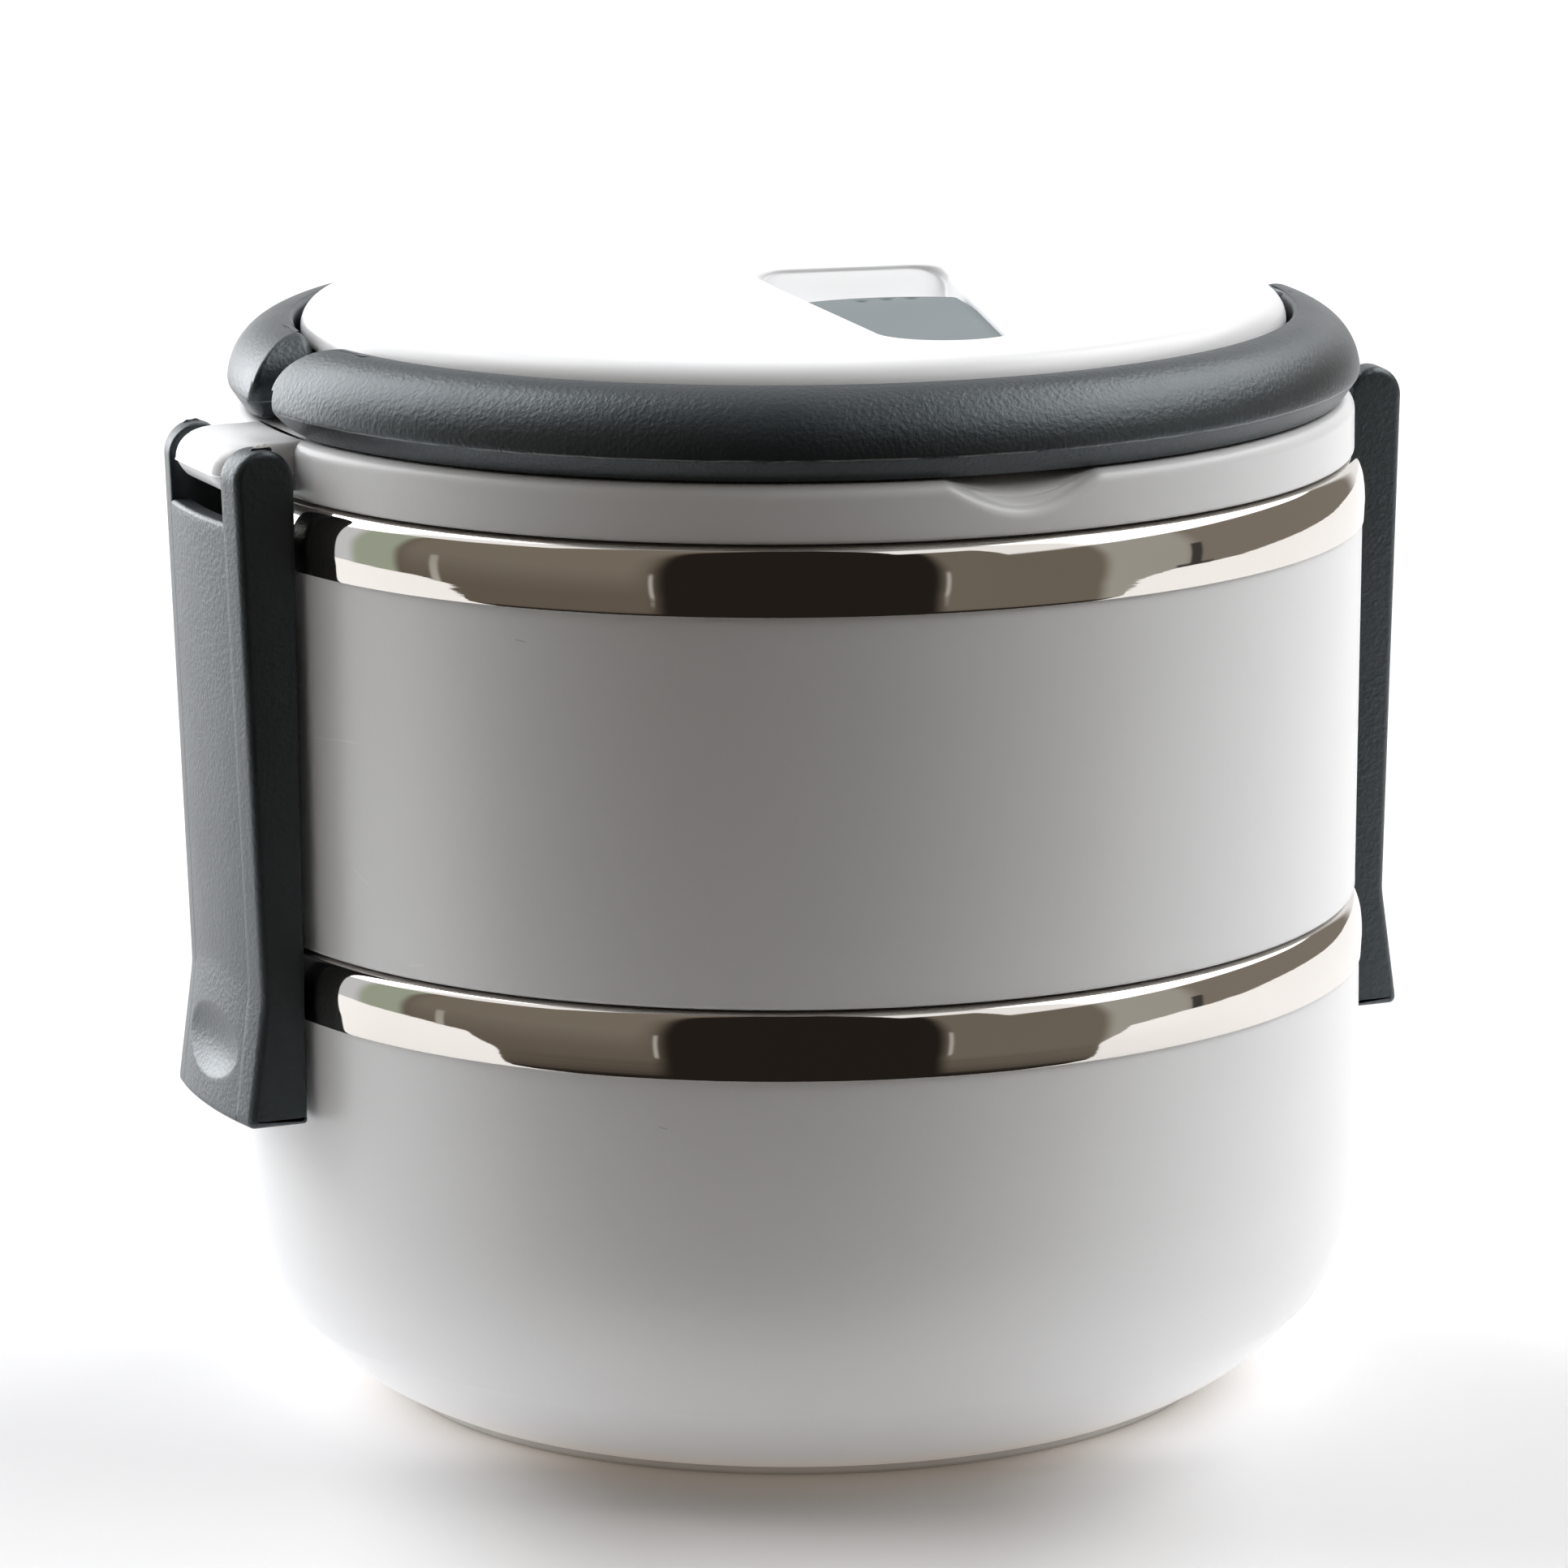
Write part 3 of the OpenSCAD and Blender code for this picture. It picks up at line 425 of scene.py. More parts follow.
def ventPlug():
    # flat plug with an arched back end and three small dots, and its stem
    v = vent
    r = v["r"] - v["plugGap"]
    a = np.radians(np.linspace(180, 360, 40))
    front = np.stack([r * np.cos(a), v["frontS"] + r * np.sin(a)], 1)
    half, backR, waist = v["plugHalf"], v["plugBackR"], v["plugWaist"]
    centreS = v["plugLength"] - backR
    reach = math.degrees(math.asin(half / backR))
    a = np.radians(np.linspace(90 - reach, 90 + reach, 30))
    back = np.stack([backR * np.cos(a), centreS + backR * np.sin(a)], 1)
    arch = [(*back[0], 1.2)] + [(*p, 0) for p in back[2:-2]] + [(*back[-1], 1.2)]
    sides = filleted([(r, v["frontS"], 0), (waist, 20, 30)] + arch
                     + [(-waist, 20, 30), (-r, v["frontS"], 0)], 8)
    line = evenly(resample(np.vstack([front[1:-1], sides]), 0.6), 300)
    normal = outward(line)
    low, top, pole = v["plugLow"], v["plugTop"], np.array([0.6, 24.0])
    count, edge = len(line), v["plugEdge"]
    rows = [ventFrame(np.full(count, pole[0]), np.full(count, pole[1]), np.full(count, low))]
    for z, inset in ((low, 0.4), (low + 0.15, 0.12), (low + 0.4, 0), (top - 0.55, 0), (top - 0.35, 0.04),
                     (top - 0.16, 0.15), (top - 0.05, 0.32), (top, edge)):
        p = line - normal * inset
        rows.append(ventFrame(p[:, 0], p[:, 1], np.full(count, z)))
    inner = line - normal * edge
    for t in np.linspace(1, 0, 75)[1:]:
        p = pole + (inner - pole) * t
        # each dot is e to the minus fourth power of the distance over its radius
        dots = sum(np.exp(-(((p[:, 0] - w) / dotR) ** 2 + ((p[:, 1] - s) / dotR) ** 2) ** 2)
                   for w, s in plugDots)
        rows.append(ventFrame(p[:, 0], p[:, 1], top - dotDepth * dots))
    a = np.arange(48) * 2 * np.pi / 48
    stem = np.stack([ventFrame(q * np.cos(a), v["holeS"] + q * np.sin(a), np.full(48, z))
                     for z, q in ((low + 0.3, 3.1), (low - 1.2, 2.7), (low - 2.9, 2.1), (low - 3.2, 1.8))])
    return piece("ventPlug", [grid(np.stack(rows), wrapCols=True), grid(stem, wrapCols=True, caps=True)],
                 "vent_flap", ["vent_plug"], 60)


handle = dict(r=74.0, inner=65.3, endInner=64.7, low=131.4, axisY=lid["axisY"], axisZ=lid["axisZ"], endR=5.5,
              crownR=8.1, crownZ=134.3, bevelIn=2.1, bevelH=2.9, pocketY=16.15, wall=2.2, cells=7,
              cellFrom=16.14, ribTurn=1.3, midR=69.5, roofLow=133.0, roofHigh=137.0, edgeSoft=0.12,
              rowTurn=0.6, cellRowTurn=0.75, slit=1e-4)


def softMin(a, b, k):
    # minus k times the logarithm of e to the -a/k plus e to the -b/k
    return -k * np.logaddexp(-a / k, -b / k)


def handleSection(v):
    # at distance v from the hinge side: the outside of the ring's section, how far its inside is rounded
    # back at each height from the top down, and half its height
    h = handle
    over = h["axisY"] - v
    half = math.sqrt(max(h["endR"] ** 2 - over ** 2, 0)) if over > 0 else h["endR"]
    blend = float(smooth(h["axisY"], h["axisY"] + 4, v))

    def outer(z):
        crown = h["r"] - h["crownR"] + np.sqrt(np.maximum(h["crownR"] ** 2 - (z - h["crownZ"]) ** 2, 0))
        bevel = h["r"] - h["bevelIn"] * (h["crownZ"] - z) / h["bevelH"]
        return softMin(crown, bevel, h["edgeSoft"]) + h["edgeSoft"] / 2

    def rounding(z, radius, phi):
        # how far an edge of the given radius, between faces at the angle phi, draws the face back
        depth = h["endR"] - np.hypot(max(over, 0), z - h["axisZ"])
        reach = radius * (1 - math.cos(phi))
        s = np.clip(1 - np.maximum(depth, 0) / reach, 0, 1)
        return radius * math.tan(phi / 2) * (1 - np.sqrt(1 - s ** 2))

    u = np.sin(np.radians(np.linspace(-90, 90, 73)))
    z = h["axisZ"] + half * u
    topPhi = math.acos(np.clip((h["axisZ"] + half - h["crownZ"]) / h["crownR"], -1, 0.9999))
    lowPhi = math.radians(100 - 46 * blend)
    up, down = rounding(z, 1.3, max(topPhi, 0.02)), rounding(z, 1.2 - 0.6 * blend, lowPhi)
    x = outer(z) - np.where(u > 0, up, down)
    inset = rounding(z, 1.5 - 0.7 * blend, math.pi / 2)
    return np.stack([x, z], 1), inset[::-1], half


def handleRow(theta, channel):
    # closed outline at the angle theta: outside, top, inside, and an underside that is hollow in a channel
    h = handle
    v = h["midR"] * math.sin(theta)
    outside, inset, half = handleSection(v)
    far = float(smooth(12, 24, v))
    flatR = math.hypot(h["endInner"], v)
    k = float(smooth(h["pocketY"] - 1.2, h["pocketY"] + 0.1, v))
    innerR = flatR + (h["inner"] - flatR) * k
    inside = np.stack([innerR + inset, outside[::-1, 1]], 1)
    top = np.stack([np.linspace(outside[-1, 0], inside[0, 0], 8)[1:-1], np.full(6, h["axisZ"] + half)], 1)
    # underside: a straight run, or the hollow with a roof that follows the crown
    startR, endR, low = h["r"] - h["bevelIn"] - h["wall"], h["inner"] + h["wall"], h["axisZ"] - half
    a = np.linspace(0, math.acos(1.6 / 5.9), 14)
    roof = np.stack([h["r"] - h["crownR"] + (h["crownR"] - h["wall"]) * np.cos(a),
                     h["crownZ"] + (h["crownR"] - h["wall"]) * np.sin(a)], 1)
    hollow = np.vstack([[[startR, h["low"]]], roof,
                        [[endR, h["roofHigh"]], [endR, h["roofLow"]], [endR, h["low"]]]])[::-1]
    plain = np.stack([np.linspace(inside[-1, 0], outside[0, 0], len(hollow) + 2)[1:-1],
                      np.full(len(hollow), low)], 1)
    under = hollow if channel else plain
    outline = np.vstack([outside, top, inside, under])
    r, z = outline[:, 0], outline[:, 1]
    y = v * (1 + far * (r / h["midR"] - 1))
    side = 1 if math.cos(theta) >= 0 else -1
    x = side * np.sqrt(np.maximum(r ** 2 - y ** 2, 0))
    return np.stack([x, -y, z], 1)


def handleHalf(name, side, body, node):
    # half ring as rows of outlines: close together at both ends, then cell by cell with ribs between
    h = handle
    b = np.radians(np.concatenate([[1.5, 3, 5], np.linspace(8, 90, 28)]))
    near = np.arcsin((h["axisY"] - h["endR"] * np.cos(b)) / h["midR"])
    first, rib = math.radians(h["cellFrom"]), math.radians(h["ribTurn"])
    turn = (math.pi - 2 * first - (h["cells"] - 1) * rib) / h["cells"]
    edges = [(first + i * (turn + rib), first + i * (turn + rib) + turn) for i in range(h["cells"])]
    thetas = [(t, False) for t in near]
    rowTurn, slit, at = math.radians(h["rowTurn"]), h["slit"], near[-1]
    for lo, hi in edges:
        count = max(2, int((lo - at) / rowTurn))
        thetas += [(t, False) for t in np.linspace(at, lo - slit, count)[1:]]
        thetas += [(t, True) for t in np.linspace(lo, hi, int(turn / math.radians(h["cellRowTurn"])))]
        at = hi + slit
        thetas += [(at, False)]
    last = math.pi - near[-1]
    thetas += [(t, False) for t in np.linspace(at, last, int((last - at) / rowTurn))[1:-1]]
    thetas += [(math.pi - t, False) for t in near[::-1]]
    rows = np.stack([handleRow(t, c) for t, c in thetas])
    rows[..., 1] *= -side
    return piece(name, [grid(rows, wrapCols=True, caps=True)], body, [node], 55)


latch = dict(half=14.5, arm=4.5, topR=83.6, waistR=81.4, footR=83.5, footZ=43.5, waistZ=62.8, sag=3.3,
             sagAt=14.0, crease=0.07, web=2.4, webSplit=66.0, webEdge=0.6, webOver=0.3, backR=75.65,
             ledge=121.59, round=1.0, footEdge=0.9, backEdge=0.5, hookX=75.55, hookTo=80.0, hookHalf=9.0,
             hookTop=52.0, hookH=2.6, floorTo=82.0, floorH=2.2, shelfNose=0.35, dimpleZ=52.3, dimpleY=9.4,
             dimpleH=4.7, dimple=1.3, dimpleSoft=0.002, dimpleStart=0.0447, top=131.1)


def latchFace(y, z):
    # outer face: two cones that meet in an arched crease at the waist, with an oval thumb dimple below
    l = latch
    waist = l["waistZ"] - l["sag"] * (y / l["sagAt"]) ** 2
    below = l["waistR"] + (l["footR"] - l["waistR"]) * (waist - z) / (waist - l["footZ"] - 1)
    above = l["waistR"] + (l["topR"] - l["waistR"]) * (z - waist) / (l["top"] - waist)
    r = l["crease"] * np.logaddexp(below / l["crease"], above / l["crease"])
    x = np.sqrt(np.maximum(r ** 2 - y ** 2, 1))
    reach = (y / l["dimpleY"]) ** 2 + ((z - l["dimpleZ"]) / l["dimpleH"]) ** 2
    bowl = np.clip(1 - reach, 0, None)
    return x - l["dimple"] * (np.sqrt(bowl ** 2 + l["dimpleSoft"]) - l["dimpleStart"])


def insetOutline(points, inset):
    # moves each point of a closed outline inwards along its normal
    along = np.roll(points, -1, 0) - np.roll(points, 1, 0)
    length = np.maximum(np.linalg.norm(along, axis=1), 1e-9)[:, None]
    normal = np.stack([-along[:, 1], along[:, 0]], 1) / length
    return points + normal * inset


def latchArm(side):
    # one arm, lofted across its thickness from the outline seen from the side
    l = latch
    inY, outY = l["half"] - l["arm"], l["half"]
    f, e, g = l["round"], l["footEdge"], l["backEdge"]
    b = np.radians(np.linspace(0, 90, 9))
    ys = [(inY, 0.25), (inY + 0.1, 0.08), (inY + 0.3, 0.0)]
    ys += [(v, 0.0) for v in np.linspace(inY + 1.2, outY - f, 4)]
    ys += [(outY - f + f * math.sin(t), f * (1 - math.cos(t))) for t in b[1:]]
    rows = []
    for y, inset in ys:
        inX = math.sqrt(l["backR"] ** 2 - y * y)
        r = 0.5 * (float(latchFace(y, l["top"] - 4)) - inX)
        z = np.linspace(l["footZ"] + e, l["top"] - r, 150)
        face = np.minimum(latchFace(np.full(len(z), y), z), inX + 2 * r)
        a = np.radians(np.linspace(0, 180, 48))[1:-1]
        crown = np.stack([inX + r + r * np.cos(a), l["top"] - r + r * np.sin(a)], 1)
        back = np.stack([np.full(40, inX), np.linspace(l["top"] - r, l["footZ"] + g, 40)], 1)
        corner = np.radians(np.linspace(180, 270, 6))[1:]
        low = np.stack([inX + g + g * np.cos(corner), l["footZ"] + g + g * np.sin(corner)], 1)
        corner = np.radians(np.linspace(270, 360, 9))[:-1]
        foot = np.stack([face[0] - e + e * np.cos(corner), l["footZ"] + e + e * np.sin(corner)], 1)
        outline = np.vstack([np.stack([face, z], 1), crown, back, low, foot])
        rows.append(np.column_stack([insetOutline(outline, inset), np.full(len(outline), y)]))
    rows = np.stack(rows)[..., [0, 2, 1]]
    rows[..., 1] *= side
    return grid(rows, wrapCols=True, caps=True)


def latchWeb():
    # slab between the arms, rounded along its upper and lower edges
    l = latch
    reach = l["half"] - l["arm"] + l["webOver"]
    e, w, split = l["footEdge"], l["webEdge"], l["webSplit"]
    rows = []
    for y in np.linspace(-reach, reach, 75):
        z = np.concatenate([np.linspace(l["footZ"] + e, split, 90),
                            np.linspace(split, l["ledge"] - w, 50)[1:]])
        face = latchFace(np.full(len(z), y), z)
        a = np.radians(np.linspace(0, 90, 7))[1:]
        topX = face[-1]
        edge = np.stack([topX - w + w * np.cos(a), l["ledge"] - w + w * np.sin(a)], 1)
        highZ = np.linspace(l["ledge"], split, 30)
        inner = np.stack([latchFace(np.full(30, y), highZ) - l["web"], highZ], 1)
        # the inner side passes behind the dimple without following it
        lowZ = np.linspace(split, l["footZ"] + 0.3, 20)[1:]
        ride = l["waistR"] + (l["footR"] - l["waistR"]) * np.clip((60 - lowZ) / 15.5, 0, 1)
        lowIn = np.stack([np.sqrt(ride ** 2 - y ** 2) - l["web"], lowZ], 1)
        corner = np.radians(np.linspace(270, 360, 9))[:-1]
        foot = np.stack([face[0] - e + e * np.cos(corner), l["footZ"] + e + e * np.sin(corner)], 1)
        outline = np.vstack([np.stack([face, z], 1), edge, inner, lowIn, foot])
        rows.append(np.stack([outline[:, 0], np.full(len(outline), y), outline[:, 1]], 1))
    return grid(np.stack(rows), wrapCols=True, caps=True)


def shelf(x0, x1, half, z0, z1):
    # flat ledge with a rounded nose towards the bowls
    nose = latch["shelfNose"]
    outline = filleted([(x0, z0, nose), (x1, z0, 0), (x1, z1, 0), (x0, z1, nose)])
    return grid(np.stack([np.stack([outline[:, 0], np.full(len(outline), y), outline[:, 1]], 1)
                          for y in (-half, half)]), wrapCols=True, caps=True)


def flake(x, y, z, length, height, lean, seed):
    # torn sliver left by the mould on top of an arm: a thin wedge with a ragged crest
    rng = np.random.default_rng(seed)
    t = np.linspace(0, 1, 17)
    ragged = np.interp(t, np.linspace(0, 1, 7), rng.uniform(0, 1, 7))
    crest = height * np.sin(np.pi * t) ** 0.7 * (0.45 + 0.55 * ragged)
    rows = []
    for across, up in ((0.14, -0.4), (0.1, 0.3), (0.03, 1.0), (-0.03, 1.0), (-0.1, 0.3), (-0.14, -0.4)):
        rise = np.where(up > 0, crest * up, up)
        rows.append(np.stack([x + length * (t - 0.5), y + across + lean * rise + 0.12 * np.sin(7 * t),
                              z + rise], 1))
    return grid(np.stack(rows, 1), wrapCols=True, caps=True)


def latchPiece(name, side, body, node):
    # two arms, the web between them, a floor at the foot, the hook above it, and slivers on the left latch
    l = latch
    reach = l["half"] - l["arm"] + 0.05
    parts = [latchArm(1), latchArm(-1), latchWeb(),
             shelf(l["hookX"], l["floorTo"], reach, l["footZ"] + 0.02, l["footZ"] + l["floorH"]),
             shelf(l["hookX"], l["hookTo"], l["hookHalf"], l["hookTop"] - l["hookH"], l["hookTop"])]
    if side < 0:
        parts += [flake(lid["hingeX"] - 0.9, -12.6, l["top"] - 0.1, 2.8, 1.0, -0.35, 4),
                  flake(lid["hingeX"] - 0.4, 12.9, l["top"] - 0.15, 2.4, 0.5, 0.3, 7)]
        parts = [(points * [side, 1, 1], faces) for points, faces in parts]
    return piece(name, parts, body, [node], 50)


def footRing():
    # flat ring with chamfered lower edges, let into the base
    z, r, sunk = bowls["footH"], bowls["footR"], bowls["footH"] + bowls["footSink"]
    inside = r - bowls["footWidth"]
    outline = filleted([(inside, sunk, 0), (inside, z / 3, 0), (inside + z / 3, 0, 0.25), (r - z / 3, 0, 0.35),
                        (r, z / 3, 0.2), (r, sunk, 0)])
    return piece("footRing", [grid(revolved(np.vstack([outline, outline[:1]]), 240))], "lower_tier",
                 ["foot_ring"])


lowerShell, baseCap = lowerTier()
upperShell = upperTier()
foot = footRing()
lowerBowl = steelBowl("lowerBowl", bowls["rimLow"], 5.2, 22.0, "lower_tier", "lower_steel_bowl")
upperBowl = steelBowl("upperBowl", bowls["rimHigh"], 66.2, 12.0, "upper_tier", "upper_steel_bowl")
lidShell = lidBody()
plate = topPlate()
plug = ventPlug()
frontHandle = handleHalf("frontHandle", -1, "front_bail", "front_handle")
backHandle = handleHalf("backHandle", 1, "back_bail", "back_handle")
leftLatch = latchPiece("leftLatch", -1, "left_clip", "left_latch")
rightLatch = latchPiece("rightLatch", 1, "right_clip", "right_latch")


class Sig:
    # a socket that arithmetic works on by adding Math nodes
    def __init__(self, graph, socket):
        self.graph, self.socket = graph, socket

    def __add__(self, other):
        return self.graph.math("ADD", self, other)

    def __sub__(self, other):
        return self.graph.math("SUBTRACT", self, other)

    def __rsub__(self, other):
        return self.graph.math("SUBTRACT", other, self)

    def __mul__(self, other):
        return self.graph.math("MULTIPLY", self, other)

    def __pow__(self, other):
        return self.graph.math("POWER", self, other)

    def __neg__(self):
        return self.graph.math("MULTIPLY", self, -1)

    __radd__ = __add__
    __rmul__ = __mul__


class Graph:
    # a node tree, emptied and then filled by short calls
    def __init__(self, tree):
        self.tree = tree
        tree.nodes.clear()

    def node(self, kind, inputs=(), out=0, **settings):
        # adds a node, fills its inputs by name or number, and returns one output
        made = self.tree.nodes.new("ShaderNode" + kind)
        for key, value in settings.items():
            setattr(made, key, value)
        for key, value in dict(inputs).items():
            if isinstance(value, Sig):
                self.tree.links.new(value.socket, made.inputs[key])
            else:
                made.inputs[key].default_value = value
        return Sig(self, made.outputs[out])

    def math(self, kind, *args):
        return self.node("Math", dict(enumerate(args)), operation=kind)

    def step(self, value, low, high):
        # smooth step from 0 at low to 1 at high
        return self.node("MapRange", {0: value, 1: low, 2: high, 3: 0.0, 4: 1.0},
                         interpolation_type="SMOOTHSTEP")

    def band(self, value, low, high, soft):
        # 1 between low and high, fading to 0 within soft of each
        return self.step(value, low - soft, low + soft) * (1 - self.step(value, high - soft, high + soft))

    def mix(self, share, a, b):
        return self.node("Mix", {0: share, 6: a, 7: b}, 2, data_type="RGBA")

    def noise(self, vector, scale, detail=3, rough=0.5):
        return self.node("TexNoise", {"Vector": vector, "Scale": scale, "Detail": detail, "Roughness": rough})

    def bump(self, height, strength, distance):
        return self.node("Bump", {"Strength": strength, "Distance": distance, "Height": height})

    def stretched(self, vector, x, y, z):
        return self.node("VectorMath", {0: vector, 1: (x, y, z)}, operation="MULTIPLY")


def material(name):
    # a new material, its graph, the place in it, and that place's x, y and z in mm
    made = bpy.data.materials.new(name)
    made.use_nodes = True
    graph = Graph(made.node_tree)
    place = graph.node("TexCoord", out=3)
    xyz = made.node_tree.nodes.new("ShaderNodeSeparateXYZ")
    made.node_tree.links.new(place.socket, xyz.inputs[0])
    parts = [Sig(graph, s) * (1 / mm) for s in xyz.outputs]
    return made, graph, place, parts


def surface(graph, inputs):
    shader = graph.node("BsdfPrincipled", inputs)
    out = graph.tree.nodes.new("ShaderNodeOutputMaterial")
    graph.tree.links.new(shader.socket, out.inputs[0])


black = (0, 0, 0, 1)
pale, worn = (0.97, 0.975, 0.98, 1), (0.5, 0.49, 0.47, 1)
# azimuth from the front, height, length, thickness, tilt, tint and strength of each scuff
scuffs = ((-74.6, 94.5, 4.4, 0.16, -0.1, pale, 0.8), (-71.2, 77.6, 1.5, 0.14, 0.75, pale, 0.7),
          (-50.1, 110.9, 0.7, 0.12, 0.2, worn, 0.5), (-63.5, 67.6, 1.2, 0.12, -0.2, pale, 0.7),
          (-36.1, 50.5, 0.5, 0.12, 0.3, worn, 0.6))


def whitePlastic(name):
    # smooth moulded plastic: barely visible cloudiness, fine handling marks and a few short scuffs
    made, g, place, (x, y, z) = material(name)
    cloud = g.noise(place, 26, 3)
    color = g.mix(g.step(cloud, 0.3, 0.7), (0.845, 0.853, 0.862, 1), (0.862, 0.868, 0.874, 1))
    fine = g.noise(g.stretched(place, 1, 1, 0.25), 900, 2)
    around = g.math("ARCTAN2", x, -y) * (180 / math.pi)
    for at, height, length, thick, tilt, tint, depth in scuffs:
        along, up = around - at, z - height
        line = up + along * tilt
        wiggle = (g.noise(place, 400, 2) - 0.5) * (2.2 * thick)
        mark = (1 - g.step(g.math("ABSOLUTE", line + wiggle), 0.2 * thick, thick)) \
            * (1 - g.step(g.math("ABSOLUTE", along), 0.6 * length, length))
        color = g.mix(mark * depth, color, tint)
    # light that comes through the thin wall by the table, and light from the table on the lower wall
    through = (1 - g.step(z, 1.6, 5.5)) * 0.85
    bounce = g.mix(g.step(z, 7, 36), (0.135, 0.135, 0.14, 1), black)
    surface(g, {"Base Color": color, "Roughness": 0.3 + (cloud - 0.5) * 0.08, "IOR": 1.48,
                "Emission Color": g.mix(through, bounce, (0.17, 0.15, 0.13, 1)), "Emission Strength": 1.0,
                "Normal": g.bump(fine, 0.04, 0.0002)})
    return made


def greyPlastic(name, seamZ=None, flashZ=None):
    # matt moulded plastic with a fine sparked grain; a thin line of flash runs along the mould's
    # parting line at seamZ, and what stands above flashZ is painted pale, with a faint painted glow, for light
    # that comes through the thin sliver
    made, g, place, (x, y, z) = material(name)
    cloud = g.noise(place, 60, 4, 0.65)
    grain = g.noise(place, 2100, 3, 0.6)
    pits = g.node("TexVoronoi", {"Vector": place, "Scale": 1300.0})
    color = g.mix(g.step(cloud, 0.3, 0.75), (0.013, 0.018, 0.021, 1), (0.017, 0.022, 0.025, 1))
    if seamZ:
        edge = g.math("ABSOLUTE", z - seamZ + (g.noise(place, 300, 2) - 0.5) * 0.25)
        line = (1 - g.step(edge, 0.05, 0.16)) * g.step(g.noise(place, 160, 2), 0.32, 0.5)
        color = g.mix(line * 0.6, color, (0.30, 0.31, 0.30, 1))
    paintedFlashGlow = black
    # painted light: above flashZ a pale colour and a faint emitted glow stand in for light passing through the
    # thin sliver of flash
    if flashZ:
        pale = g.step(z, flashZ, flashZ + 0.15)
        color = g.mix(pale, color, (0.6, 0.59, 0.55, 1))
        paintedFlashGlow = g.mix(pale, paintedFlashGlow, (0.22, 0.21, 0.19, 1))
    surface(g, {"Base Color": color, "Roughness": 0.39 + (cloud - 0.5) * 0.2, "IOR": 1.68,
                "Specular Tint": (0.86, 0.96, 1.0, 1), "Emission Color": paintedFlashGlow, "Emission Strength": 1.0,
                "Normal": g.bump(grain + pits * 0.5, 0.45, 0.00016)})
    return made


def polishedSteel(name, rough=0.035):
    # rolled and polished sheet: long faint polishing lines round the bowl
    made, g, place, (x, y, z) = material(name)
    lines = g.noise(g.stretched(place, 0.4, 0.4, 40), 30, 4, 0.6)
    cloud = g.noise(place, 30, 3)
    color = g.mix(g.step(cloud, 0.3, 0.7), (0.70, 0.665, 0.62, 1), (0.73, 0.695, 0.655, 1))
    surface(g, {"Base Color": color, "Metallic": 1.0, "Roughness": rough + (cloud - 0.5) * 0.02,
                "Normal": g.bump(lines, 0.03, 0.0001)})
    return made


def silicone(name, light, dark, rough=0.5):
    # soft rubber with a fine grain and a few specks of dust
    made, g, place, (x, y, z) = material(name)
    cloud = g.noise(place, 60, 3)
    speck = g.node("TexVoronoi", {"Vector": place, "Scale": 520.0})
    dust = (1 - g.step(speck, 0.05, 0.11)) * g.step(g.noise(place, 130, 2), 0.56, 0.62)
    color = g.mix(g.step(cloud, 0.3, 0.7), dark, light)
    color = g.mix(dust * 0.6, color, (0.7, 0.7, 0.7, 1))
    surface(g, {"Base Color": color, "Roughness": rough + (cloud - 0.5) * 0.1, "IOR": 1.41,
                "Normal": g.bump(g.noise(place, 1800, 2), 0.1, 0.0001)})
    return made


def paint(obj, mat):
    obj.data.materials.clear()
    obj.data.materials.append(mat)


greyHandle = greyPlastic("greyHandle", handle["crownZ"])
greyLatch = greyPlastic("greyLatch", flashZ=latch["top"] + 0.12)
white = whitePlastic("whitePlastic")
pinSteel = polishedSteel("pinSteel", 0.2)
bandSteel = polishedSteel("bandSteel")
greySilicone = silicone("greySilicone", (0.165, 0.195, 0.205, 1), (0.15, 0.178, 0.19, 1))
whiteSilicone = silicone("whiteSilicone", (0.78, 0.79, 0.79, 1), (0.74, 0.75, 0.75, 1), 0.4)
for obj, mat in ((lowerShell, white), (baseCap, white), (upperShell, white), (lidShell, white), (plate, white),
                 (foot, whiteSilicone), (lowerBowl, bandSteel), (upperBowl, bandSteel), (plug, greySilicone),
                 (frontHandle, greyHandle), (backHandle, greyHandle), (leftLatch, greyLatch),
                 (rightLatch, greyLatch), (nodes["upper_base_cap"], white), (nodes["lid_liner"], white),
                 (nodes["tier_seal"], whiteSilicone), (nodes["lid_seal"], whiteSilicone),
                 (nodes["handle_pins"], pinSteel), (nodes["left_latch_pin"], pinSteel),
                 (nodes["right_latch_pin"], pinSteel)):
    paint(obj, mat)
print("painted")


view = dict(azimuth=-23.0, elevation=11.93, distance=1.0, aim=(0, 0, 0.0787), roll=-0.45, focal=9290.66,
            size=1932, shiftX=15.85, shiftY=-0.70, sensor=36, near=0.05, far=20)
turn = math.radians(view["azimuth"])
tilt = math.radians(view["elevation"])
front = Vector((math.sin(turn), -math.cos(turn), 0))
right = Vector((math.cos(turn), math.sin(turn), 0))


def makeCamera():
    # focal length and shift are in pixels of the square picture
    back = front * math.cos(tilt) + Vector((0, 0, math.sin(tilt)))
    axes = Matrix((right, back.cross(right), back)).transposed().to_4x4()
    data = bpy.data.cameras.new("camera")
    data.sensor_width = view["sensor"]
    data.lens = view["focal"] / view["size"] * view["sensor"]
    data.shift_x = -view["shiftX"] / view["size"]
    data.shift_y = view["shiftY"] / view["size"]
    data.clip_start, data.clip_end = view["near"], view["far"]
    camera = bpy.data.objects.new("camera", data)
    bpy.context.scene.collection.objects.link(camera)
    camera.matrix_world = Matrix.Translation(Vector(view["aim"]) + back * view["distance"]) @ axes \
        @ Matrix.Rotation(math.radians(view["roll"]), 4, "Z")
    bpy.context.scene.camera = camera


# corners of the table top, across to the right and near towards the camera
floorPlan = ((-0.95, -0.3), (-0.72, 0.16), (-0.46, 0.22), (-0.13, 0.13), (0.13, 0.13), (0.46, 0.22),
             (0.72, 0.16), (0.95, -0.3), (1.2, -2.6), (-1.2, -2.6))


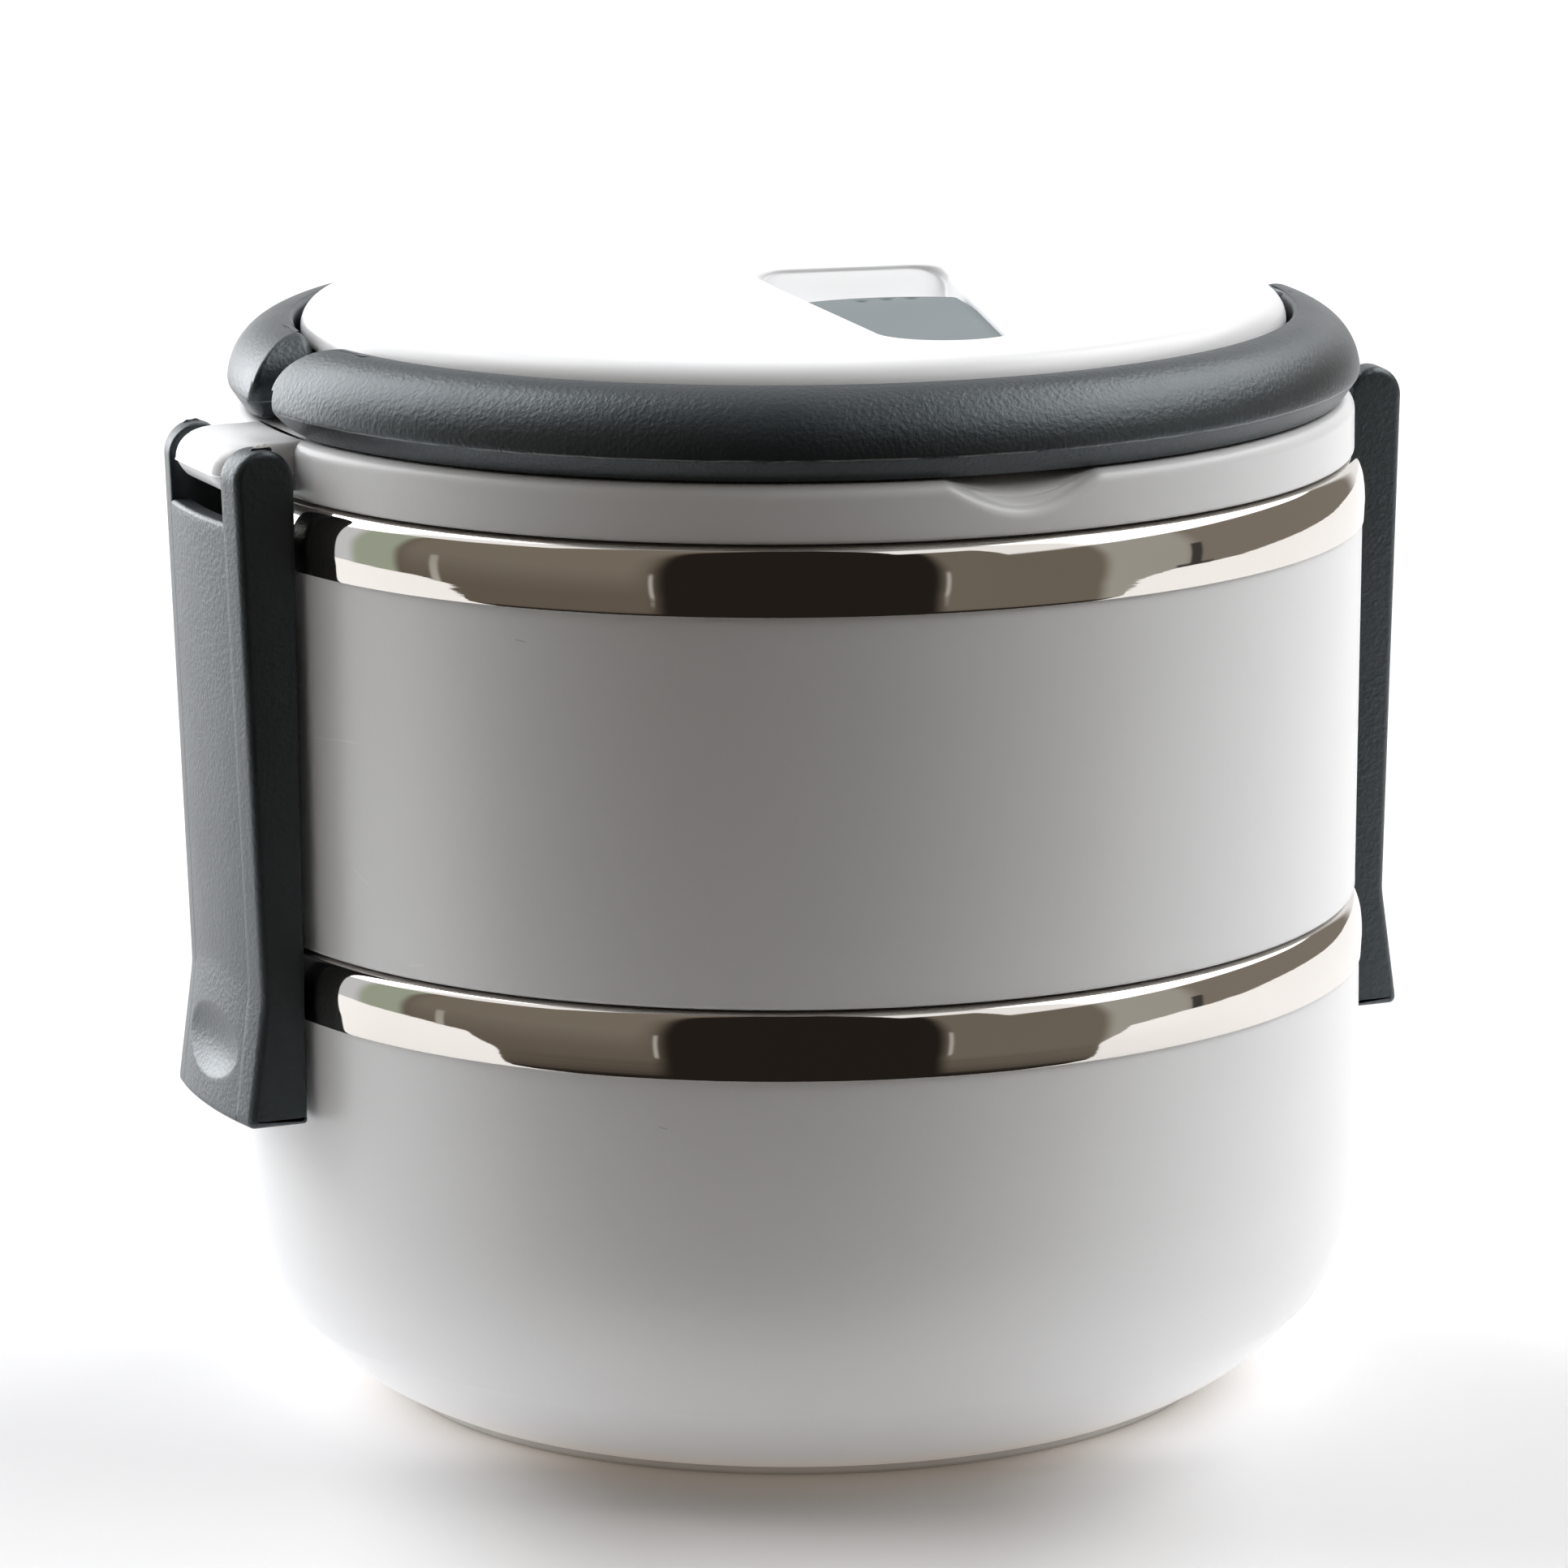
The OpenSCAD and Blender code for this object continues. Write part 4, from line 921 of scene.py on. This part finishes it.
def makeFloor():
    # white table top whose near edge swings away to both sides of the lunch box
    corners = [right * across + front * near for across, near in floorPlan]
    mesh = bpy.data.meshes.new("floor")
    mesh.from_pydata([tuple(c) for c in corners], [], [tuple(range(len(corners)))])
    floor = bpy.data.objects.new("floor", mesh)
    bpy.context.scene.collection.objects.link(floor)
    made, g, place, (x, y, z) = material("floorPaper")
    cloud = g.noise(place, 3, 2)
    near = x * front.x + y * front.y
    across = g.math("ABSOLUTE", x * right.x + y * right.y)
    color = g.mix(cloud, (0.87, 0.87, 0.875, 1), (0.88, 0.88, 0.885, 1))
    # shade under the bulge of the front
    shade = g.step(near, 38, 54) * (1 - g.step(near, 62, 100) * 0.35) * (1 - g.step(across, 18, 62))
    color = g.mix(shade * 0.8, color, (0.30, 0.28, 0.26, 1))
    # light that comes through the pale plastic warms the table round the base
    glow = g.band((x * x + y * y) ** 0.5, 40, 66, 8)
    surface(g, {"Base Color": color, "Roughness": 0.7, "Specular IOR Level": 0.2,
                "Emission Color": g.mix(glow, black, (0.075, 0.062, 0.05, 1)), "Emission Strength": 1.0})
    mesh.materials.append(made)


# light and colours of the room; azimuths run from the camera to the right, elevations up
dark, backdrop, walls = (0.02, 0.016, 0.013, 1), (1.0, 1.0, 1.01, 1), (0.15, 0.125, 0.10, 1)
leftWindow, rightWindow, rightLow = (4.5, 4.52, 4.6, 1), (5.0, 5.0, 5.02, 1), (3.3, 3.3, 3.32, 1)
ceiling, behind, zenith = (1.1, 1.1, 1.11, 1), (0.6, 0.6, 0.61, 1), (0.3, 0.3, 0.3, 1)
roomRight = ((-30, -25, dark), (27, 31, (0.19, 0.165, 0.135, 1)), (62, 66, (0.42, 0.41, 0.37, 1)),
             (82, 88, (0.25, 0.22, 0.19, 1)), (146, 156, backdrop))
roomLeft = ((84, 87, (0.4, 0.45, 0.36, 1)), (96, 100, (0.7, 0.72, 0.76, 1)), (112, 120, (6.2, 6.25, 6.4, 1)),
            (146, 156, backdrop))


def makeWorld():
    # bright room behind and above, dark room on the viewer's side, a dim wall on the right
    world = bpy.data.worlds.new("studio")
    world.use_nodes = True
    g = Graph(world.node_tree)
    way = g.node("TexCoord")

    def along(axis):
        return g.node("VectorMath", {0: way, 1: tuple(axis)}, 1, operation="DOT_PRODUCT")

    f, r, up = along(front), along(right), along((0, 0, 1))
    az = g.math("ARCTAN2", r, f) * (180 / math.pi)
    el = g.math("ARCSINE", up) * (180 / math.pi)
    size = g.math("ABSOLUTE", az)
    # the room low down, from azimuth to azimuth: brown walls, a dark middle, windows at both ends
    room = walls
    for start, end, colour in roomRight:
        room = g.mix(g.step(az, start, end), room, colour)
    for start, end, colour in roomLeft:
        room = g.mix(g.step(-az, start, end), room, colour)
    # bright posts and a dark stand
    posts = g.band(az, -76.5, -74.5, 0.5) + g.band(az, -28.6, -27.8, 0.3) + g.band(az, 29.6, 30.4, 0.3)
    room = g.mix(posts * g.band(el, -14, 6, 2), room, (0.5, 0.49, 0.45, 1))
    stand = g.band(az, 84.5, 87.5, 0.5) * g.band(el, -9, 5, 1)
    stand = stand + g.band(az, 81, 91, 0.6) * g.band(el, -10, -8, 0.6)
    room = g.mix(g.math("MINIMUM", stand, 1), room, (0.06, 0.055, 0.05, 1))
    haze = g.step(el, -16, 12) * g.band(az, -84, -30, 4)
    room = g.mix(haze * 0.5, room, (0.30, 0.265, 0.22, 1))
    # the bright ceiling starts at this elevation: low on the right, rising towards the viewer on the left
    leftEdge = g.math("MAXIMUM", 18 + (az + 106) * 0.55, 18)
    edge = leftEdge + g.step(az, -60, -54) * (84 - leftEdge)
    edge = edge + g.step(az, 18, 24) * (42 - edge)
    edge = edge + g.step(az, 41, 45) * (25 - edge)
    sky = g.mix(g.step(-az, 90, 100), ceiling, leftWindow)
    sky = g.mix(g.step(az, 60, 72), sky, g.mix(g.step(el, 38, 50), rightLow, rightWindow))
    sky = g.mix(g.step(size, 146, 156), sky, behind)
    sky = g.mix(g.step(el, 56, 68), sky, zenith)
    room = g.mix(g.step(el - edge, -1, 2), room, sky)
    # dark under the table's height, except behind the box
    below = g.step(-el, 16, 22)
    room = g.mix(below * (1 - g.step(size, 100, 120)), room, dark)
    ray = g.node("LightPath")
    light = g.node("Background", {0: room, 1: 1.0})
    plain = g.node("Background", {0: (1, 1, 1, 1), 1: 1.0})
    # the room lights and reflects, and the camera itself sees plain white
    mixed = g.node("MixShader", {0: ray, 1: light, 2: plain})
    out = g.tree.nodes.new("ShaderNodeOutputWorld")
    g.tree.links.new(mixed.socket, out.inputs[0])
    bpy.context.scene.world = world


makeCamera()
makeFloor()
makeWorld()
bpy.context.scene.view_settings.view_transform = "Standard"
print("stage is set")
